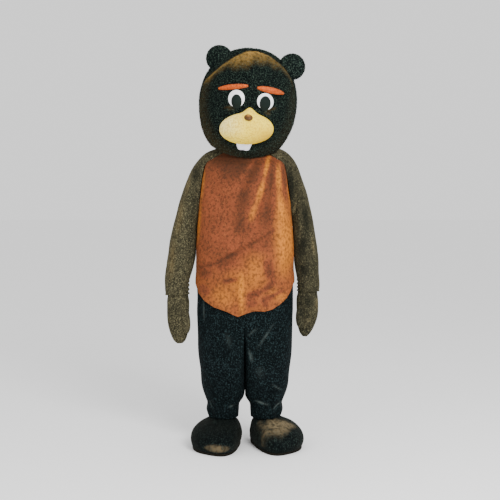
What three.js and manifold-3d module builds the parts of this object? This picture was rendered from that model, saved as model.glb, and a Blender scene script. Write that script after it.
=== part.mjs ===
// A worn animal mascot costume: plush head, one-piece suit, mitts and foot covers.
// Millimetres, +Z up, and the front faces -Y. Heights in the tables are above the floor, and "left" is
// the side at -X. The exported group is lowered so that the suit's neck opening is at the origin.
import * as THREE from 'three';
import { mergeVertices } from 'three/addons/utils/BufferGeometryUtils.js';
import Module from 'manifold-3d';

const wasm = await Module();
wasm.setup();

// Driving dimensions
const NECK_HEIGHT = 1330;
const CLOTH = 2.5;
const SEAM = 0.3;
const HALF_SEAM = SEAM / 2;
const HEAD_WALL = 8;
const SOLE = 9;
const SIDE_SEAM_Y = 4;
const FRONT_LAP = 16;
const LEFT = -1;
const RIGHT = 1;
const SIDES = [[LEFT, 'left'], [RIGHT, 'right']];
const FAR = 2500;

const { sin, cos, abs, PI, hypot, exp, sign, min, max, sqrt } = Math;
const RADIANS = PI / 180;
const clamp = (value, low, high) => min(max(value, low), high);
const smooth = (t) => {
  const s = clamp(t, 0, 1);
  return s * s * (3 - 2 * s);
};
const vec = (x, y, z) => new THREE.Vector3(x, y, z);
const steps = (count) => Array.from({ length: count + 1 }, (_, i) => i / count);
const table = (columns, rows) => rows.map((row) => Object.fromEntries(columns.map((c, i) => [c, row[i]])));

// A superellipse's cosine or sine: power 2 is a circle, and more is squarer.
const bent = (value, power) => sign(value) * abs(value) ** (2 / power);

// The values at a place from 0 to 1 down a table, with a smooth curve through its rows.
function between(rows, t) {
  const at = clamp(t, 0, 1) * (rows.length - 1);
  const i = min(Math.floor(at), rows.length - 2);
  const f = at - i;
  const pick = (n) => rows[clamp(n, 0, rows.length - 1)];
  const [a, b, c, d] = [pick(i - 1), pick(i), pick(i + 1), pick(i + 2)];
  const mix = (key) => (2 * f ** 3 - 3 * f ** 2 + 1) * b[key] + (3 * f ** 2 - 2 * f ** 3) * c[key]
    + (f ** 3 - 2 * f ** 2 + f) * (c[key] - a[key]) / 2 + (f ** 3 - f ** 2) * (d[key] - b[key]) / 2;
  return Object.fromEntries(Object.keys(b).map((key) => [key, mix(key)]));
}

// How far down a table a height lies, from 0 to 1.
function placeOf(rows, z) {
  const i = clamp(rows.findIndex((row) => row.z <= z), 1, rows.length - 1);
  return (i - 1 + (rows[i - 1].z - z) / (rows[i - 1].z - rows[i].z)) / (rows.length - 1);
}

// Folds: soft ridges (high above 0) and troughs (below 0) from one point of the front view to another.
const FOLD = ['x0', 'z0', 'x1', 'z1', 'wide', 'high'];
const PANEL_FOLDS = table(FOLD, [
  [122, 1268, 60, 950, 18, 8],
  [148, 1215, 170, 790, 22, 9],
  [80, 1262, -10, 1110, 16, 6],
  [100, 1250, 34, 920, 16, -8],
  [134, 1230, 112, 880, 18, -8],
  [50, 1262, -50, 1050, 18, -7],
  [-215, 765, 105, 925, 20, -9],
  [-195, 805, 125, 978, 22, 7],
  [60, 890, 195, 955, 16, -5],
  [-24, 790, -20, 575, 14, 7],
  [10, 665, 115, 745, 13, -7],
  [60, 608, 180, 690, 13, -6],
  [-95, 720, -20, 742, 13, -5],
  [-150, 1160, -60, 1010, 28, -4],
]);
const LEG_FOLDS = table(FOLD, [
  [105, 560, 30, 440, 16, 6],
  [150, 470, 50, 350, 16, -5],
  [190, 250, 100, 300, 16, 6],
  [20, 215, 125, 175, 14, 7],
  [175, 190, 120, 148, 13, -6],
  [-40, 520, -120, 380, 18, -5],
  [-185, 330, -90, 240, 18, 5],
  [-70, 150, -20, 215, 13, 6],
  [-168, 200, -100, 160, 13, -5],
]);
const BACK_FOLDS = table(FOLD, [
  [-130, 1230, -95, 860, 22, 6],
  [115, 1240, 140, 850, 20, -6],
  [-75, 1180, -60, 900, 18, -5],
  [70, 1150, 60, 880, 18, 5],
  [-175, 800, -50, 690, 20, -6],
  [60, 640, 175, 700, 20, 6],
  [-150, 450, -50, 400, 16, -5],
  [60, 400, 165, 450, 16, -5],
  [-160, 200, -60, 165, 14, 5],
  [50, 175, 150, 205, 14, -5],
]);
const SLEEVE_FOLDS = table(FOLD, [
  [-182, 1250, -208, 1110, 15, -6],
  [-262, 1180, -222, 1030, 16, 5],
  [-352, 810, -258, 760, 15, -5],
  [-340, 905, -235, 850, 18, 4],
  [252, 1185, 240, 960, 15, 7],
  [215, 1190, 226, 1020, 14, -6],
  [322, 900, 262, 790, 15, 6],
  [238, 770, 322, 742, 13, -6],
  [320, 822, 242, 850, 14, -5],
]);

function foldHeight(folds, x, z) {
  let height = 0;
  for (const f of folds) {
    const [dx, dz] = [f.x1 - f.x0, f.z1 - f.z0];
    const along = ((x - f.x0) * dx + (z - f.z0) * dz) / (dx * dx + dz * dz);
    if (along > 0 && along < 1) {
      const across = ((x - f.x0) * dz - (z - f.z0) * dx) / hypot(dx, dz);
      height += f.high * sqrt(sin(PI * along)) * exp(-((across / f.wide) ** 2));
    }
  }
  return height;
}

// Solids. A net is rows of outer points that go down, each row clockwise as seen from above. A closed
// net's rows join round into rings.
function normalsOf(net, closed) {
  const [rows, cols] = [net.length, net[0].length];
  return net.map((line, r) => line.map((_, c) => {
    const before = closed ? line[(c + cols - 1) % cols] : line[max(c - 1, 0)];
    const after = closed ? line[(c + 1) % cols] : line[min(c + 1, cols - 1)];
    const down = net[min(r + 1, rows - 1)][c].clone().sub(net[max(r - 1, 0)][c]);
    return after.clone().sub(before).cross(down).normalize();
  }));
}

const grown = (net, by, closed = true) => {
  const normals = normalsOf(net, closed);
  return net.map((line, r) => line.map((p, c) => p.clone().addScaledVector(normals[r][c], by)));
};

function gridFaces(first, rows, cols, closed, flip) {
  const faces = [];
  for (let r = 0; r < rows - 1; r++) {
    for (let c = 0; c < (closed ? cols : cols - 1); c++) {
      const a = first + r * cols + c;
      const b = first + r * cols + ((c + 1) % cols);
      const [c1, c2] = [a + cols, b + cols];
      faces.push(flip ? [a, c2, b] : [a, b, c2], flip ? [a, c1, c2] : [a, c2, c1]);
    }
  }
  return faces;
}

const middleOf = (points) => points.reduce((sum, p) => sum.add(p), vec(0, 0, 0)).divideScalar(points.length);

// A fan from a new middle point to the ring that starts at point `first`.
function capRing(points, faces, first, cols, flip) {
  points.push(middleOf(points.slice(first, first + cols)));
  for (let c = 0; c < cols; c++) {
    const [a, b] = [first + c, first + ((c + 1) % cols)];
    faces.push(flip ? [points.length - 1, a, b] : [points.length - 1, b, a]);
  }
}

// A wall of cloth under a net: open at its ends, or closed at the last row when it has a tip.
function wall(net, thickness, { closed = true, tip = false } = {}) {
  const [rows, cols] = [net.length, net[0].length];
  const points = [...net.flat(), ...grown(net, -thickness, closed).flat()];
  const inside = rows * cols;
  const last = inside - cols;
  const faces = [...gridFaces(0, rows, cols, closed, false), ...gridFaces(inside, rows, cols, closed, true)];
  const rim = (a, b) => faces.push([a, inside + b, b], [a, inside + a, inside + b]);
  for (let c = 0; c < (closed ? cols : cols - 1); c++) {
    const next = (c + 1) % cols;
    rim(c, next);
    if (!tip) rim(last + next, last + c);
  }
  if (!closed) {
    for (let r = 0; r < rows - 1; r++) {
      rim((r + 1) * cols, r * cols);
      rim(r * cols + cols - 1, (r + 1) * cols + cols - 1);
    }
  }
  if (tip) {
    capRing(points, faces, last, cols, true);
    capRing(points, faces, inside + last, cols, false);
  }
  return solid(points, faces);
}

// The whole volume inside a closed net grown outwards.
function filled(net, by = 0) {
  const [rows, cols] = [net.length, net[0].length];
  const points = grown(net, by).flat();
  const faces = gridFaces(0, rows, cols, true, false);
  capRing(points, faces, 0, cols, false);
  capRing(points, faces, (rows - 1) * cols, cols, true);
  return solid(points, faces);
}

function solid(points, faces) {
  const geometry = new THREE.BufferGeometry().setFromPoints(points);
  geometry.setIndex(faces.flat());
  return fromGeometry(geometry);
}

function fromGeometry(geometry) {
  const bare = geometry.index ? geometry.toNonIndexed() : geometry.clone();
  const others = Object.keys(bare.attributes).filter((name) => name !== 'position');
  others.forEach((name) => bare.deleteAttribute(name));
  const { attributes, index } = mergeVertices(bare, 1e-4);
  const build = (triVerts) => new wasm.Manifold(new wasm.Mesh({
    numProp: 3, vertProperties: new Float32Array(attributes.position.array), triVerts,
  }));
  const made = build(new Uint32Array(index.array));
  if (made.volume() > 0) return made;
  return build(new Uint32Array(index.array).reverse());
}

const boxOf = (x0, x1, y0, y1, z0, z1) => fromGeometry(new THREE.BoxGeometry(x1 - x0, y1 - y0, z1 - z0)
  .translate((x0 + x1) / 2, (y0 + y1) / 2, (z0 + z1) / 2));
const beyond = (place, way) => (way > 0 ? [place, FAR] : [-FAR, place]);
const beyondX = (x, way) => boxOf(...beyond(x, way), -FAR, FAR, -FAR, FAR);
const beyondY = (y, way) => boxOf(-FAR, FAR, ...beyond(y, way), -FAR, FAR);
const beyondZ = (z, way) => boxOf(-FAR, FAR, -FAR, FAR, ...beyond(z, way));

// A flat outline pushed along a third axis from one place to another: the outline's two values run
// along `axes[0]` and `axes[1]`, and the push along `axes[2]`.
function prism(outline, from, to, axes) {
  const shape = new THREE.Shape(outline.map(([u, v]) => new THREE.Vector2(u, v)));
  const geometry = new THREE.ExtrudeGeometry(shape, { depth: to - from, bevelEnabled: false });
  geometry.translate(0, 0, from);
  return fromGeometry(geometry.applyMatrix4(new THREE.Matrix4().makeBasis(...axes)));
}
const [X, Y, Z] = [vec(1, 0, 0), vec(0, 1, 0), vec(0, 0, 1)];
const frontPrism = (outline) => prism(outline, -FAR, FAR, [X, Z, Y]);
const sidePrism = (outline, x0, x1) => prism(outline, x0, x1, [Y, Z, X]);
const levelPrism = (outline, z0, z1) => prism(outline, z0, z1, [X, Y, Z]);

// Materials
const cloth = (color, roughness = 0.95) => new THREE.MeshStandardMaterial({ color, roughness, metalness: 0 });
const DARK_PLUSH = cloth('#2b241b');
const SLEEVE_PLUSH = cloth('#3a3326');
const RUST_VELOUR = cloth('#a85a2c', 0.8);
const BROW_PLUSH = cloth('#d4633c');
const CREAM_PLUSH = cloth('#e6d391', 0.85);
const SOLE_CLOTH = cloth('#17140f', 0.9);
const WHITE_VINYL = cloth('#e9e9e6', 0.45);
const BLACK_VINYL = cloth('#12181a', 0.25);
const NOSE_VINYL = cloth('#4a2c14', 0.35);

const costume = new THREE.Group();
const worn = new THREE.Group();
worn.position.z = -NECK_HEIGHT;
costume.add(worn);

// Adds a named piece. Slivers that a cut leaves beside the piece are dropped.
function addPiece(name, made, material) {
  const body = made.decompose().sort((a, b) => b.volume() - a.volume())[0];
  const { vertProperties, triVerts } = body.getMesh();
  const geometry = new THREE.BufferGeometry();
  geometry.setAttribute('position', new THREE.BufferAttribute(new Float32Array(vertProperties), 3));
  geometry.setIndex([...triVerts]);
  geometry.computeVertexNormals();
  const mesh = new THREE.Mesh(geometry, material);
  mesh.name = name;
  worn.add(mesh);
}

// The suit's body, as one half from the centre plane outwards. `mid` is the distance of a section's
// middle from the centre plane, `out` and `in` are its half widths, `front` and `back` its depths,
// and `sink` is how far its front dips below its sides. Below the fork `in` opens it into a leg.
const BODY = table(['z', 'mid', 'out', 'in', 'front', 'back', 'power', 'inPower', 'sink'], [
  [1358, HALF_SEAM, 100, 0, 74, 78, 2.0, 6, 60],
  [1342, HALF_SEAM, 126, 0, 86, 94, 2.0, 6, 62],
  [1318, HALF_SEAM, 156, 0, 98, 106, 2.1, 6, 56],
  [1270, HALF_SEAM, 184, 0, 116, 122, 2.2, 6, 28],
  [1200, HALF_SEAM, 196, 0, 132, 134, 2.3, 6, 6],
  [1110, HALF_SEAM, 205, 0, 145, 138, 2.4, 6, 0],
  [1020, HALF_SEAM, 210, 0, 154, 134, 2.5, 6, 0],
  [930, HALF_SEAM, 216, 0, 161, 130, 2.5, 6, 0],
  [840, HALF_SEAM, 220, 0, 165, 136, 2.5, 6, 0],
  [750, HALF_SEAM, 218, 0, 162, 148, 2.5, 6, 0],
  [660, HALF_SEAM, 215, 0, 153, 156, 2.5, 6, 0],
  [570, HALF_SEAM, 214, 0, 148, 154, 2.5, 6, 0],
  [490, 10, 202, 10, 142, 146, 2.5, 7, 0],
  [410, 38, 172, 38, 136, 136, 2.4, 6, 0],
  [330, 62, 138, 62, 126, 124, 2.4, 5, 0],
  [265, 82, 113, 82, 114, 112, 2.3, 4, 0],
  [215, 92, 90, 88, 98, 98, 2.2, 2.6, 0],
  [180, 94, 75, 70, 84, 88, 2.1, 2.2, 0],
  [150, 95, 77, 68, 86, 92, 2.0, 2.0, 0],
  [122, 95, 69, 66, 78, 84, 2.0, 2.0, 0],
]);
const BODY_ROWS = 20;
const OUTER_STEPS = 15;
const INNER_STEPS = 5;
// The backs meet the trousers' backs where the front's lower edge meets the side seams.
const BACK_SEAM = 716;
const FORK = { z: 500, deep: 120 };
const HEM = { waves: 5, high: 3.5, from: 235 };
const LEG_SHIFT = { [LEFT]: 0, [RIGHT]: -4 };

// One point of the half body. `turn` is 0 at the centre back, 0.5 at the side and 1 at the centre
// front on the outer run, then 1 to 2 back along the inner side.
function bodyPoint(side, t, turn, lift) {
  const s = between(BODY, t);
  const inner = turn > 1;
  const angle = (inner ? 1.5 - turn : turn - 0.5) * PI;
  const depth = angle > 0 ? s.front : s.back;
  const mid = max(s.mid + LEG_SHIFT[side] * smooth((300 - s.z) / 100), HALF_SEAM);
  const inside = clamp(s.in, 0, mid - HALF_SEAM);
  const reach = inner ? -inside * bent(cos(angle), s.inPower) : s.out * bent(cos(angle), s.power);
  const centre = vec(side * mid, 0, s.z - s.sink * smooth(0.5 + 0.5 * sin(angle)));
  const point = centre.clone().add(vec(side * reach, -depth * bent(sin(angle), s.power), 0));
  const out = point.clone().sub(centre).normalize();
  const gather = inner ? 0 : HEM.high * sin(2 * PI * HEM.waves * turn) * smooth((HEM.from - s.z) / 60);
  return point.addScaledVector(out, inner ? 0 : gather + lift(point));
}

function bodyLift(p) {
  if (p.y < 0) return foldHeight(LEG_FOLDS, p.x, p.z) * smooth((-p.y - 8) / 40);
  return foldHeight(BACK_FOLDS, p.x, p.z) * smooth((p.y - 50) / 40) * smooth((abs(p.x) - 24) / 30);
}

const clockwise = (side, line) => (side === RIGHT ? line : line.reverse());

function bodyNet(side) {
  const turns = [...steps(OUTER_STEPS), ...steps(INNER_STEPS).slice(1, -1).map((t) => t + 1)];
  const row = (t) => turns.map((turn) => bodyPoint(side, t, turn, bodyLift));
  return steps(BODY_ROWS).map((t) => clockwise(side, row(t)));
}

// Takes the flat inner walls of the halves out above the fork, so that they make one hollow body.
function forkCutter() {
  const clear = CLOTH + 0.6;
  const levels = steps(60).map((t) => between(BODY, t)).filter((s) => s.z > FORK.z + FORK.deep);
  const [neck, low] = [levels[0], levels[levels.length - 1]];
  const front = levels.map((s) => [clear - s.front, s.z - s.sink]);
  const back = levels.map((s) => [s.back - clear, s.z]).reverse();
  const bowl = steps(12).slice(1, -1).map((t) => {
    const reach = 0.97 * cos(PI * t);
    return [-reach * ((reach > 0 ? low.front : low.back) - clear), FORK.z + FORK.deep * (1 - sin(PI * t))];
  });
  const top = [[neck.back - clear, neck.z + 60], [clear - neck.front, neck.z + 60]];
  return sidePrism([...front, ...bowl, ...back, ...top], -CLOTH - 6, CLOTH + 6);
}

// The rust panel's lower edge: points across and up, with its lobes.
const PANEL_EDGE = [
  [-234, 740], [-219, 716], [-205, 680], [-177, 648], [-136, 624], [-80, 606], [-53, 593], [-30, 584],
  [-9, 592], [25, 604], [49, 609], [86, 606], [119, 614], [153, 634], [183, 660], [199, 684], [213, 716],
  [230, 740],
];
const PANEL_STEPS = 26;
const PANEL_LEVELS = [
  1358, 1345, 1328, 1304, 1274, 1240, 1203, 1166, 1129, 1092, 1055, 1018, 981, 944, 907, 870, 833, 796, 760,
  725, 692, 660, 629, 598, 568,
];
const PANEL_BAG = 5;

function edgeHeight(x) {
  const i = clamp(PANEL_EDGE.findIndex(([px]) => px >= x), 1, PANEL_EDGE.length - 1);
  const [[x0, z0], [x1, z1]] = [PANEL_EDGE[i - 1], PANEL_EDGE[i]];
  return z0 + (z1 - z0) * clamp((x - x0) / (x1 - x0), 0, 1);
}

function panelLift(p) {
  const lap = smooth((edgeHeight(p.x) + 75 - p.z) / 60) * (CLOTH + SEAM + PANEL_BAG);
  return smooth((-p.y - 2) / 50) * (foldHeight(PANEL_FOLDS, p.x, p.z) + lap);
}

// The front from beyond one side seam to beyond the other.
function panelNet() {
  const behind = 0.03;
  return PANEL_LEVELS.map((z) => steps(PANEL_STEPS).map((u) => {
    const side = u < 0.5 ? RIGHT : LEFT;
    const turn = 1 - abs(u - 0.5) * (1 + 2 * behind);
    const point = bodyPoint(side, placeOf(BODY, z), turn, panelLift);
    return u === 0.5 ? point.setX(0) : point;
  }));
}

// The region of the front view above, or below, the lower edge moved up by some amount.
const aroundEdge = (up, end) => frontPrism([
  [-FAR, PANEL_EDGE[0][1] + up], ...PANEL_EDGE.map(([x, z]) => [x, z + up]),
  [FAR, PANEL_EDGE[PANEL_EDGE.length - 1][1] + up], [FAR, end], [-FAR, end],
]);

// The strip over the centre-back opening.
const PLACKET = { wide: 44, top: 1350, bottom: 760, columns: 2, rows: 8, clear: 2.6 };
function placketNet() {
  return steps(PLACKET.rows).map((t) => {
    const s = between(BODY, placeOf(BODY, PLACKET.top + (PLACKET.bottom - PLACKET.top) * t));
    return steps(PLACKET.columns).map((u) => {
      const x = (u - 0.5) * PLACKET.wide;
      const y = s.back * (1 - abs(x / s.out) ** s.power) ** (1 / s.power);
      return vec(x, y + PLACKET.clear + CLOTH, s.z);
    });
  });
}

// Sleeves, mitts and thumbs: rings down a path. `across` is the half width in the front view.
const ARM = ['x', 'y', 'z', 'across', 'deep'];
const SLEEVES = {
  [LEFT]: table(ARM, [
    [-92, 16, 1294, 40, 52],
    [-134, 16, 1262, 57, 58],
    [-158, 16, 1236, 63, 61],
    [-180, 16, 1204, 64, 63],
    [-206, 14, 1156, 61, 64],
    [-236, 9, 1085, 56, 63],
    [-263.5, 2, 1002, 51, 62],
    [-277, -6, 912, 58, 62],
    [-286, -14, 825, 62.5, 60],
    [-302, -20, 750, 56, 58],
    [-304, -24, 705, 54, 56],
    [-303, -25, 668, 54, 55],
  ]),
  [RIGHT]: table(ARM, [
    [92, 16, 1298, 40, 52],
    [140, 16, 1266, 60, 58],
    [162, 16, 1240, 66, 61],
    [182, 16, 1208, 64, 63],
    [205, 14, 1156, 60, 64],
    [231, 9, 1085, 56, 63],
    [258, 2, 1002, 45.5, 62],
    [269, -6, 912, 50, 62],
    [277, -14, 825, 53, 60],
    [281, -20, 755, 51, 58],
    [283, -24, 715, 50, 56],
    [283, -25, 684, 50, 55],
  ]),
};
const MITTS = {
  [LEFT]: table(ARM, [
    [-302, -25, 700, 43, 44],
    [-301, -26, 664, 46, 46],
    [-301, -28, 636, 50, 46],
    [-301, -30, 590, 50, 44],
    [-300, -32, 550, 48, 40],
    [-297, -35, 515, 43, 34],
    [-294, -38, 485, 35, 28],
    [-292, -40, 464, 25, 21],
    [-291, -41, 452, 12, 11],
  ]),
  [RIGHT]: table(ARM, [
    [282, -25, 716, 41, 43],
    [281, -26, 680, 44, 45],
    [280, -28, 652, 48, 45],
    [280, -30, 612, 49, 43],
    [279, -32, 576, 47, 39],
    [274, -35, 545, 42, 33],
    [270, -38, 516, 32, 27],
    [268, -40, 496, 22, 20],
    [267, -41, 483, 10, 10],
  ]),
};
const THUMBS = {
  [LEFT]: table(ARM, [
    [-284, -32, 618, 17, 17],
    [-272, -50, 590, 20, 20],
    [-265, -61, 558, 20, 19],
    [-262, -65, 528, 18, 17],
    [-262, -66, 508, 13, 12],
    [-262, -66, 498, 6, 6],
  ]),
  [RIGHT]: table(ARM, [
    [264, -32, 640, 17, 17],
    [254, -50, 612, 20, 20],
    [247, -61, 580, 20, 19],
    [246, -65, 550, 18, 17],
    [248, -66, 532, 13, 12],
    [248, -66, 522, 6, 6],
  ]),
};
const SLEEVE_SIZE = { rows: 14, around: 13, power: 2.1 };
const MITT_SIZE = { rows: 8, around: 10, power: 2.2 };
const THUMB_SIZE = { rows: 5, around: 8, power: 2 };
const CUFF = { from: 0.8, waves: 4.5, high: 2.6 };
// Each mitt leans on the inside of its sleeve's cuff.
const MITT_LEAN = { [LEFT]: 2.3, [RIGHT]: -1.3 };

function armNet(path, { rows, around, power }, lift = () => 0) {
  return steps(rows).map((t) => {
    const s = between(path, t);
    const [before, after] = [between(path, t - 0.01), between(path, t + 0.01)];
    const down = vec(after.x - before.x, after.y - before.y, after.z - before.z).normalize();
    const across = Y.clone().cross(down).normalize();
    const deep = down.clone().cross(across);
    return steps(around).slice(1).map((turn) => {
      const angle = 2 * PI * turn;
      const out = across.clone().multiplyScalar(s.across * bent(cos(angle), power))
        .addScaledVector(deep, s.deep * bent(sin(angle), power));
      const point = vec(s.x, s.y, s.z).add(out);
      return point.addScaledVector(out.normalize(), lift(point, angle, t));
    });
  });
}

// Folds at the front of a sleeve, and gathers up the inner side of its cuff.
const sleeveLift = (side) => (p, angle, t) => {
  const fold = foldHeight(SLEEVE_FOLDS, p.x, p.z) * smooth((-p.y - 8) / 30);
  const inner = max(0, side * cos(angle)) ** 2;
  const down = t - CUFF.from;
  return fold + CUFF.high * inner * smooth(down / 0.08) * sin(2 * PI * CUFF.waves * down / 0.2);
};
const sleeveNet = (side) => armNet(SLEEVES[side], SLEEVE_SIZE, sleeveLift(side));

function buildSuit() {
  const bodies = Object.fromEntries(SIDES.map(([side]) => [side, bodyNet(side)]));
  const sleeves = Object.fromEntries(SIDES.map(([side]) => [side, sleeveNet(side)]));
  const armholes = filled(sleeves[LEFT], SEAM).add(filled(sleeves[RIGHT], SEAM));
  const fork = forkCutter();
  const panel = wall(panelNet(), CLOTH, { closed: false })
    .intersect(beyondY(SIDE_SEAM_Y - HALF_SEAM, -1)).intersect(aroundEdge(0, FAR)).subtract(armholes);
  const panelRoom = wall(grown(panelNet(), SEAM, false), CLOTH + 2 * SEAM, { closed: false })
    .intersect(aroundEdge(-SEAM, FAR));
  addPiece('front_panel', panel, RUST_VELOUR);
  for (const [side, name] of SIDES) {
    const half = wall(bodies[side], CLOTH).subtract(fork);
    const back = half.intersect(beyondY(SIDE_SEAM_Y + HALF_SEAM, 1)).subtract(armholes);
    const front = half.intersect(beyondY(SIDE_SEAM_Y - HALF_SEAM, -1)).intersect(aroundEdge(FRONT_LAP, -FAR))
      .subtract(panelRoom);
    const sleeve = wall(sleeves[side], CLOTH).subtract(filled(bodies[side], SEAM));
    addPiece(`back_${name}`, back.intersect(beyondZ(BACK_SEAM + HALF_SEAM, 1)), DARK_PLUSH);
    addPiece(`leg_back_${name}`, back.intersect(beyondZ(BACK_SEAM - HALF_SEAM, -1)), DARK_PLUSH);
    addPiece(`leg_front_${name}`, front, DARK_PLUSH);
    addPiece(`sleeve_${name}`, sleeve, SLEEVE_PLUSH);
  }
  const backs = filled(bodies[LEFT], SEAM).add(filled(bodies[RIGHT], SEAM));
  addPiece('back_placket', wall(placketNet(), CLOTH, { closed: false }).subtract(backs), DARK_PLUSH);
  return [bodies, sleeves].flatMap((nets) => SIDES.map(([side]) => filled(nets[side], SEAM)));
}

// A mitt has a back-of-hand piece, a palm piece and a thumb, each hollow.
function buildMitts() {
  for (const [side, name] of SIDES) {
    const leant = (path) => path.map((s) => ({ ...s, x: s.x + MITT_LEAN[side] }));
    const mitt = armNet(leant(MITTS[side]), MITT_SIZE);
    const thumb = armNet(leant(THUMBS[side]), THUMB_SIZE);
    const bag = wall(mitt, CLOTH, { tip: true }).subtract(filled(thumb, SEAM));
    const split = (gap, end) => sidePrism([...MITTS[side].map((s) => [s.y + gap, s.z]),
      [-41 + gap, 0], [end, 0], [end, 1000], [-25 + gap, 1000]], -FAR, FAR);
    addPiece(`mitt_front_${name}`, bag.intersect(split(-HALF_SEAM, -FAR)), SLEEVE_PLUSH);
    addPiece(`mitt_palm_${name}`, bag.intersect(split(HALF_SEAM, FAR)), SLEEVE_PLUSH);
    addPiece(`thumb_${name}`, wall(thumb, CLOTH, { tip: true }).subtract(filled(mitt, SEAM)), SLEEVE_PLUSH);
  }
}

// Foot covers: level sections from the ankle down, in the foot's own frame with the toe at -Y. `off` is
// how far a section sits to the outer side, and `skew` draws its toe forward on the inner side.
const FOOT = table(['z', 'toe', 'heel', 'half', 'off', 'power', 'skew'], [
  [172, 56, 50, 50, 0, 2, 0],
  [150, 58, 50, 51, 0, 2, 0],
  [130, 62, 52, 54, 0, 2, 0],
  [119, 72, 56, 56, 0, 2.1, 0],
  [108, 116, 70, 73, 8, 2.2, 0.15],
  [94, 172, 87, 91, 15, 2.4, 0.34],
  [74, 217, 98, 104, 20, 2.6, 0.42],
  [48, 238, 105, 110, 21, 2.7, 0.42],
  [24, 236, 104, 108, 21, 2.7, 0.42],
  [4, 224, 98, 98, 20, 2.7, 0.42],
]);
const FEET = {
  [LEFT]: { x: -98, y: 2, toeOut: 8, off: 1 },
  [RIGHT]: { x: 93.2, y: 8, toeOut: 17, off: 1.55 },
};
const FOOT_SIZE = { rows: 8, around: 16 };
const SOLE_RIM = 3;

function footRing(s, side, more = 0) {
  return steps(FOOT_SIZE.around).slice(1).map((turn) => {
    const angle = -2 * PI * turn;
    const x = (s.half + more) * bent(cos(angle), s.power);
    const y = (s.heel - s.toe) / 2 + ((s.toe + s.heel) / 2 + more) * bent(sin(angle), s.power);
    return vec(side * s.off * FEET[side].off + x, y + s.skew * side * x * max(0, -y) / s.toe, s.z);
  });
}

function buildFeet() {
  for (const [side, name] of SIDES) {
    const foot = FEET[side];
    const place = (made) => made.rotate([0, 0, side * foot.toeOut]).translate([foot.x, foot.y, 0]);
    const net = steps(FOOT_SIZE.rows).map((t) => footRing(between(FOOT, t), side));
    const upper = wall(net, CLOTH).intersect(boxOf(-FAR, FAR, -FAR, FAR, SOLE + SEAM, FAR));
    const inner = upper.intersect(beyondX(side * (8 - HALF_SEAM), -side));
    const outer = upper.intersect(beyondX(side * (8 + HALF_SEAM), side));
    const edge = footRing(between(FOOT, placeOf(FOOT, SOLE)), side, SOLE_RIM).map((p) => [p.x, p.y]);
    addPiece(`foot_inner_${name}`, place(inner), DARK_PLUSH);
    addPiece(`foot_outer_${name}`, place(outer), DARK_PLUSH);
    addPiece(`foot_sole_${name}`, place(levelPrism(edge, 0, SOLE)), SOLE_CLOTH);
  }
}

// The head, in its own frame about the middle of the egg, which leans to one side and rests on the
// shoulders.
const HEAD = { x: 13, y: -10, z: 1524, wide: 219, deep: 214, up: 250, down: 268, power: 2.1, lean: 6 };
const HEAD_HOLE = { y: 28, wide: 156, deep: 116, corners: 26 };
const HEAD_SIZE = { rows: 14, around: 24 };
// The seam over the top of the head lies in a plane that leans back as it goes down.
const TOP_SEAM = { y: -45, lean: 11.3 };
const EARS = { [LEFT]: [-149, 181], [RIGHT]: [176, 179] };
const EAR = { radius: 59, thick: 19, y: -60 };

const onHead = (x, y, z, out) => {
  const tall = z > 0 ? HEAD.up : HEAD.down;
  const away = vec(x / HEAD.wide ** 2, y / HEAD.deep ** 2, z / tall ** 2).normalize();
  return vec(x, y, z).addScaledVector(away, out);
};
const ringAt = (z) => (1 - abs(z / (z > 0 ? HEAD.up : HEAD.down)) ** HEAD.power) ** (1 / HEAD.power);

function headVolume(out) {
  const { rows, around } = HEAD_SIZE;
  const net = steps(rows).slice(1, -1).map((t) => {
    const z = (t < 0.5 ? HEAD.up : HEAD.down) * cos(PI * t);
    return steps(around).slice(1).map((u) => {
      const angle = -2 * PI * u;
      return onHead(HEAD.wide * ringAt(z) * cos(angle), HEAD.deep * ringAt(z) * sin(angle), z, out);
    });
  });
  const points = [...net.flat(), onHead(0, 0, HEAD.up, out), onHead(0, 0, -HEAD.down, out)];
  const faces = gridFaces(0, net.length, around, true, false);
  for (let c = 0; c < around; c++) {
    const [next, last] = [(c + 1) % around, (net.length - 1) * around];
    faces.push([points.length - 2, next, c], [points.length - 1, last + c, last + next]);
  }
  return solid(points, faces);
}

// The point of the head's front under a point of the front view, moved out.
const headFront = (x, z, out) => {
  const across = max(ringAt(z) ** 2 - (x / HEAD.wide) ** 2, 0);
  return onHead(x, -HEAD.deep * sqrt(across), z, out);
};

// A round pad on the face. `edge` gives the front-view point at an angle and a share of the radius, and
// `top` and `bottom` the heights over the head at that point and share.
function pad(edge, top, bottom, { rings, around }) {
  const shares = steps(rings).slice(1).map((t) => sin(PI / 2 * t));
  const layer = (height) => [headFront(...edge(0, 0), height(...edge(0, 0), 0)),
    ...shares.flatMap((r) => steps(around).slice(1).map((u) => {
      const at = edge(2 * PI * u, r);
      return headFront(...at, height(...at, r));
    }))];
  const points = [...layer(top), ...layer(bottom)];
  const half = points.length / 2;
  const faces = [];
  for (let i = 0; i < around; i++) {
    const next = (i + 1) % around;
    faces.push([0, 1 + i, 1 + next], [half, half + 1 + next, half + 1 + i]);
    for (let r = 1; r < rings; r++) {
      const [a, b] = [1 + (r - 1) * around + i, 1 + (r - 1) * around + next];
      faces.push([a, a + around, b + around], [a, b + around, b]);
      faces.push([half + a, half + b + around, half + a + around], [half + a, half + b, half + b + around]);
    }
    const [a, b] = [half - around + i, half - around + next];
    faces.push([a, half + a, half + b], [a, half + b, b]);
  }
  return solid(points, faces);
}

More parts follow.
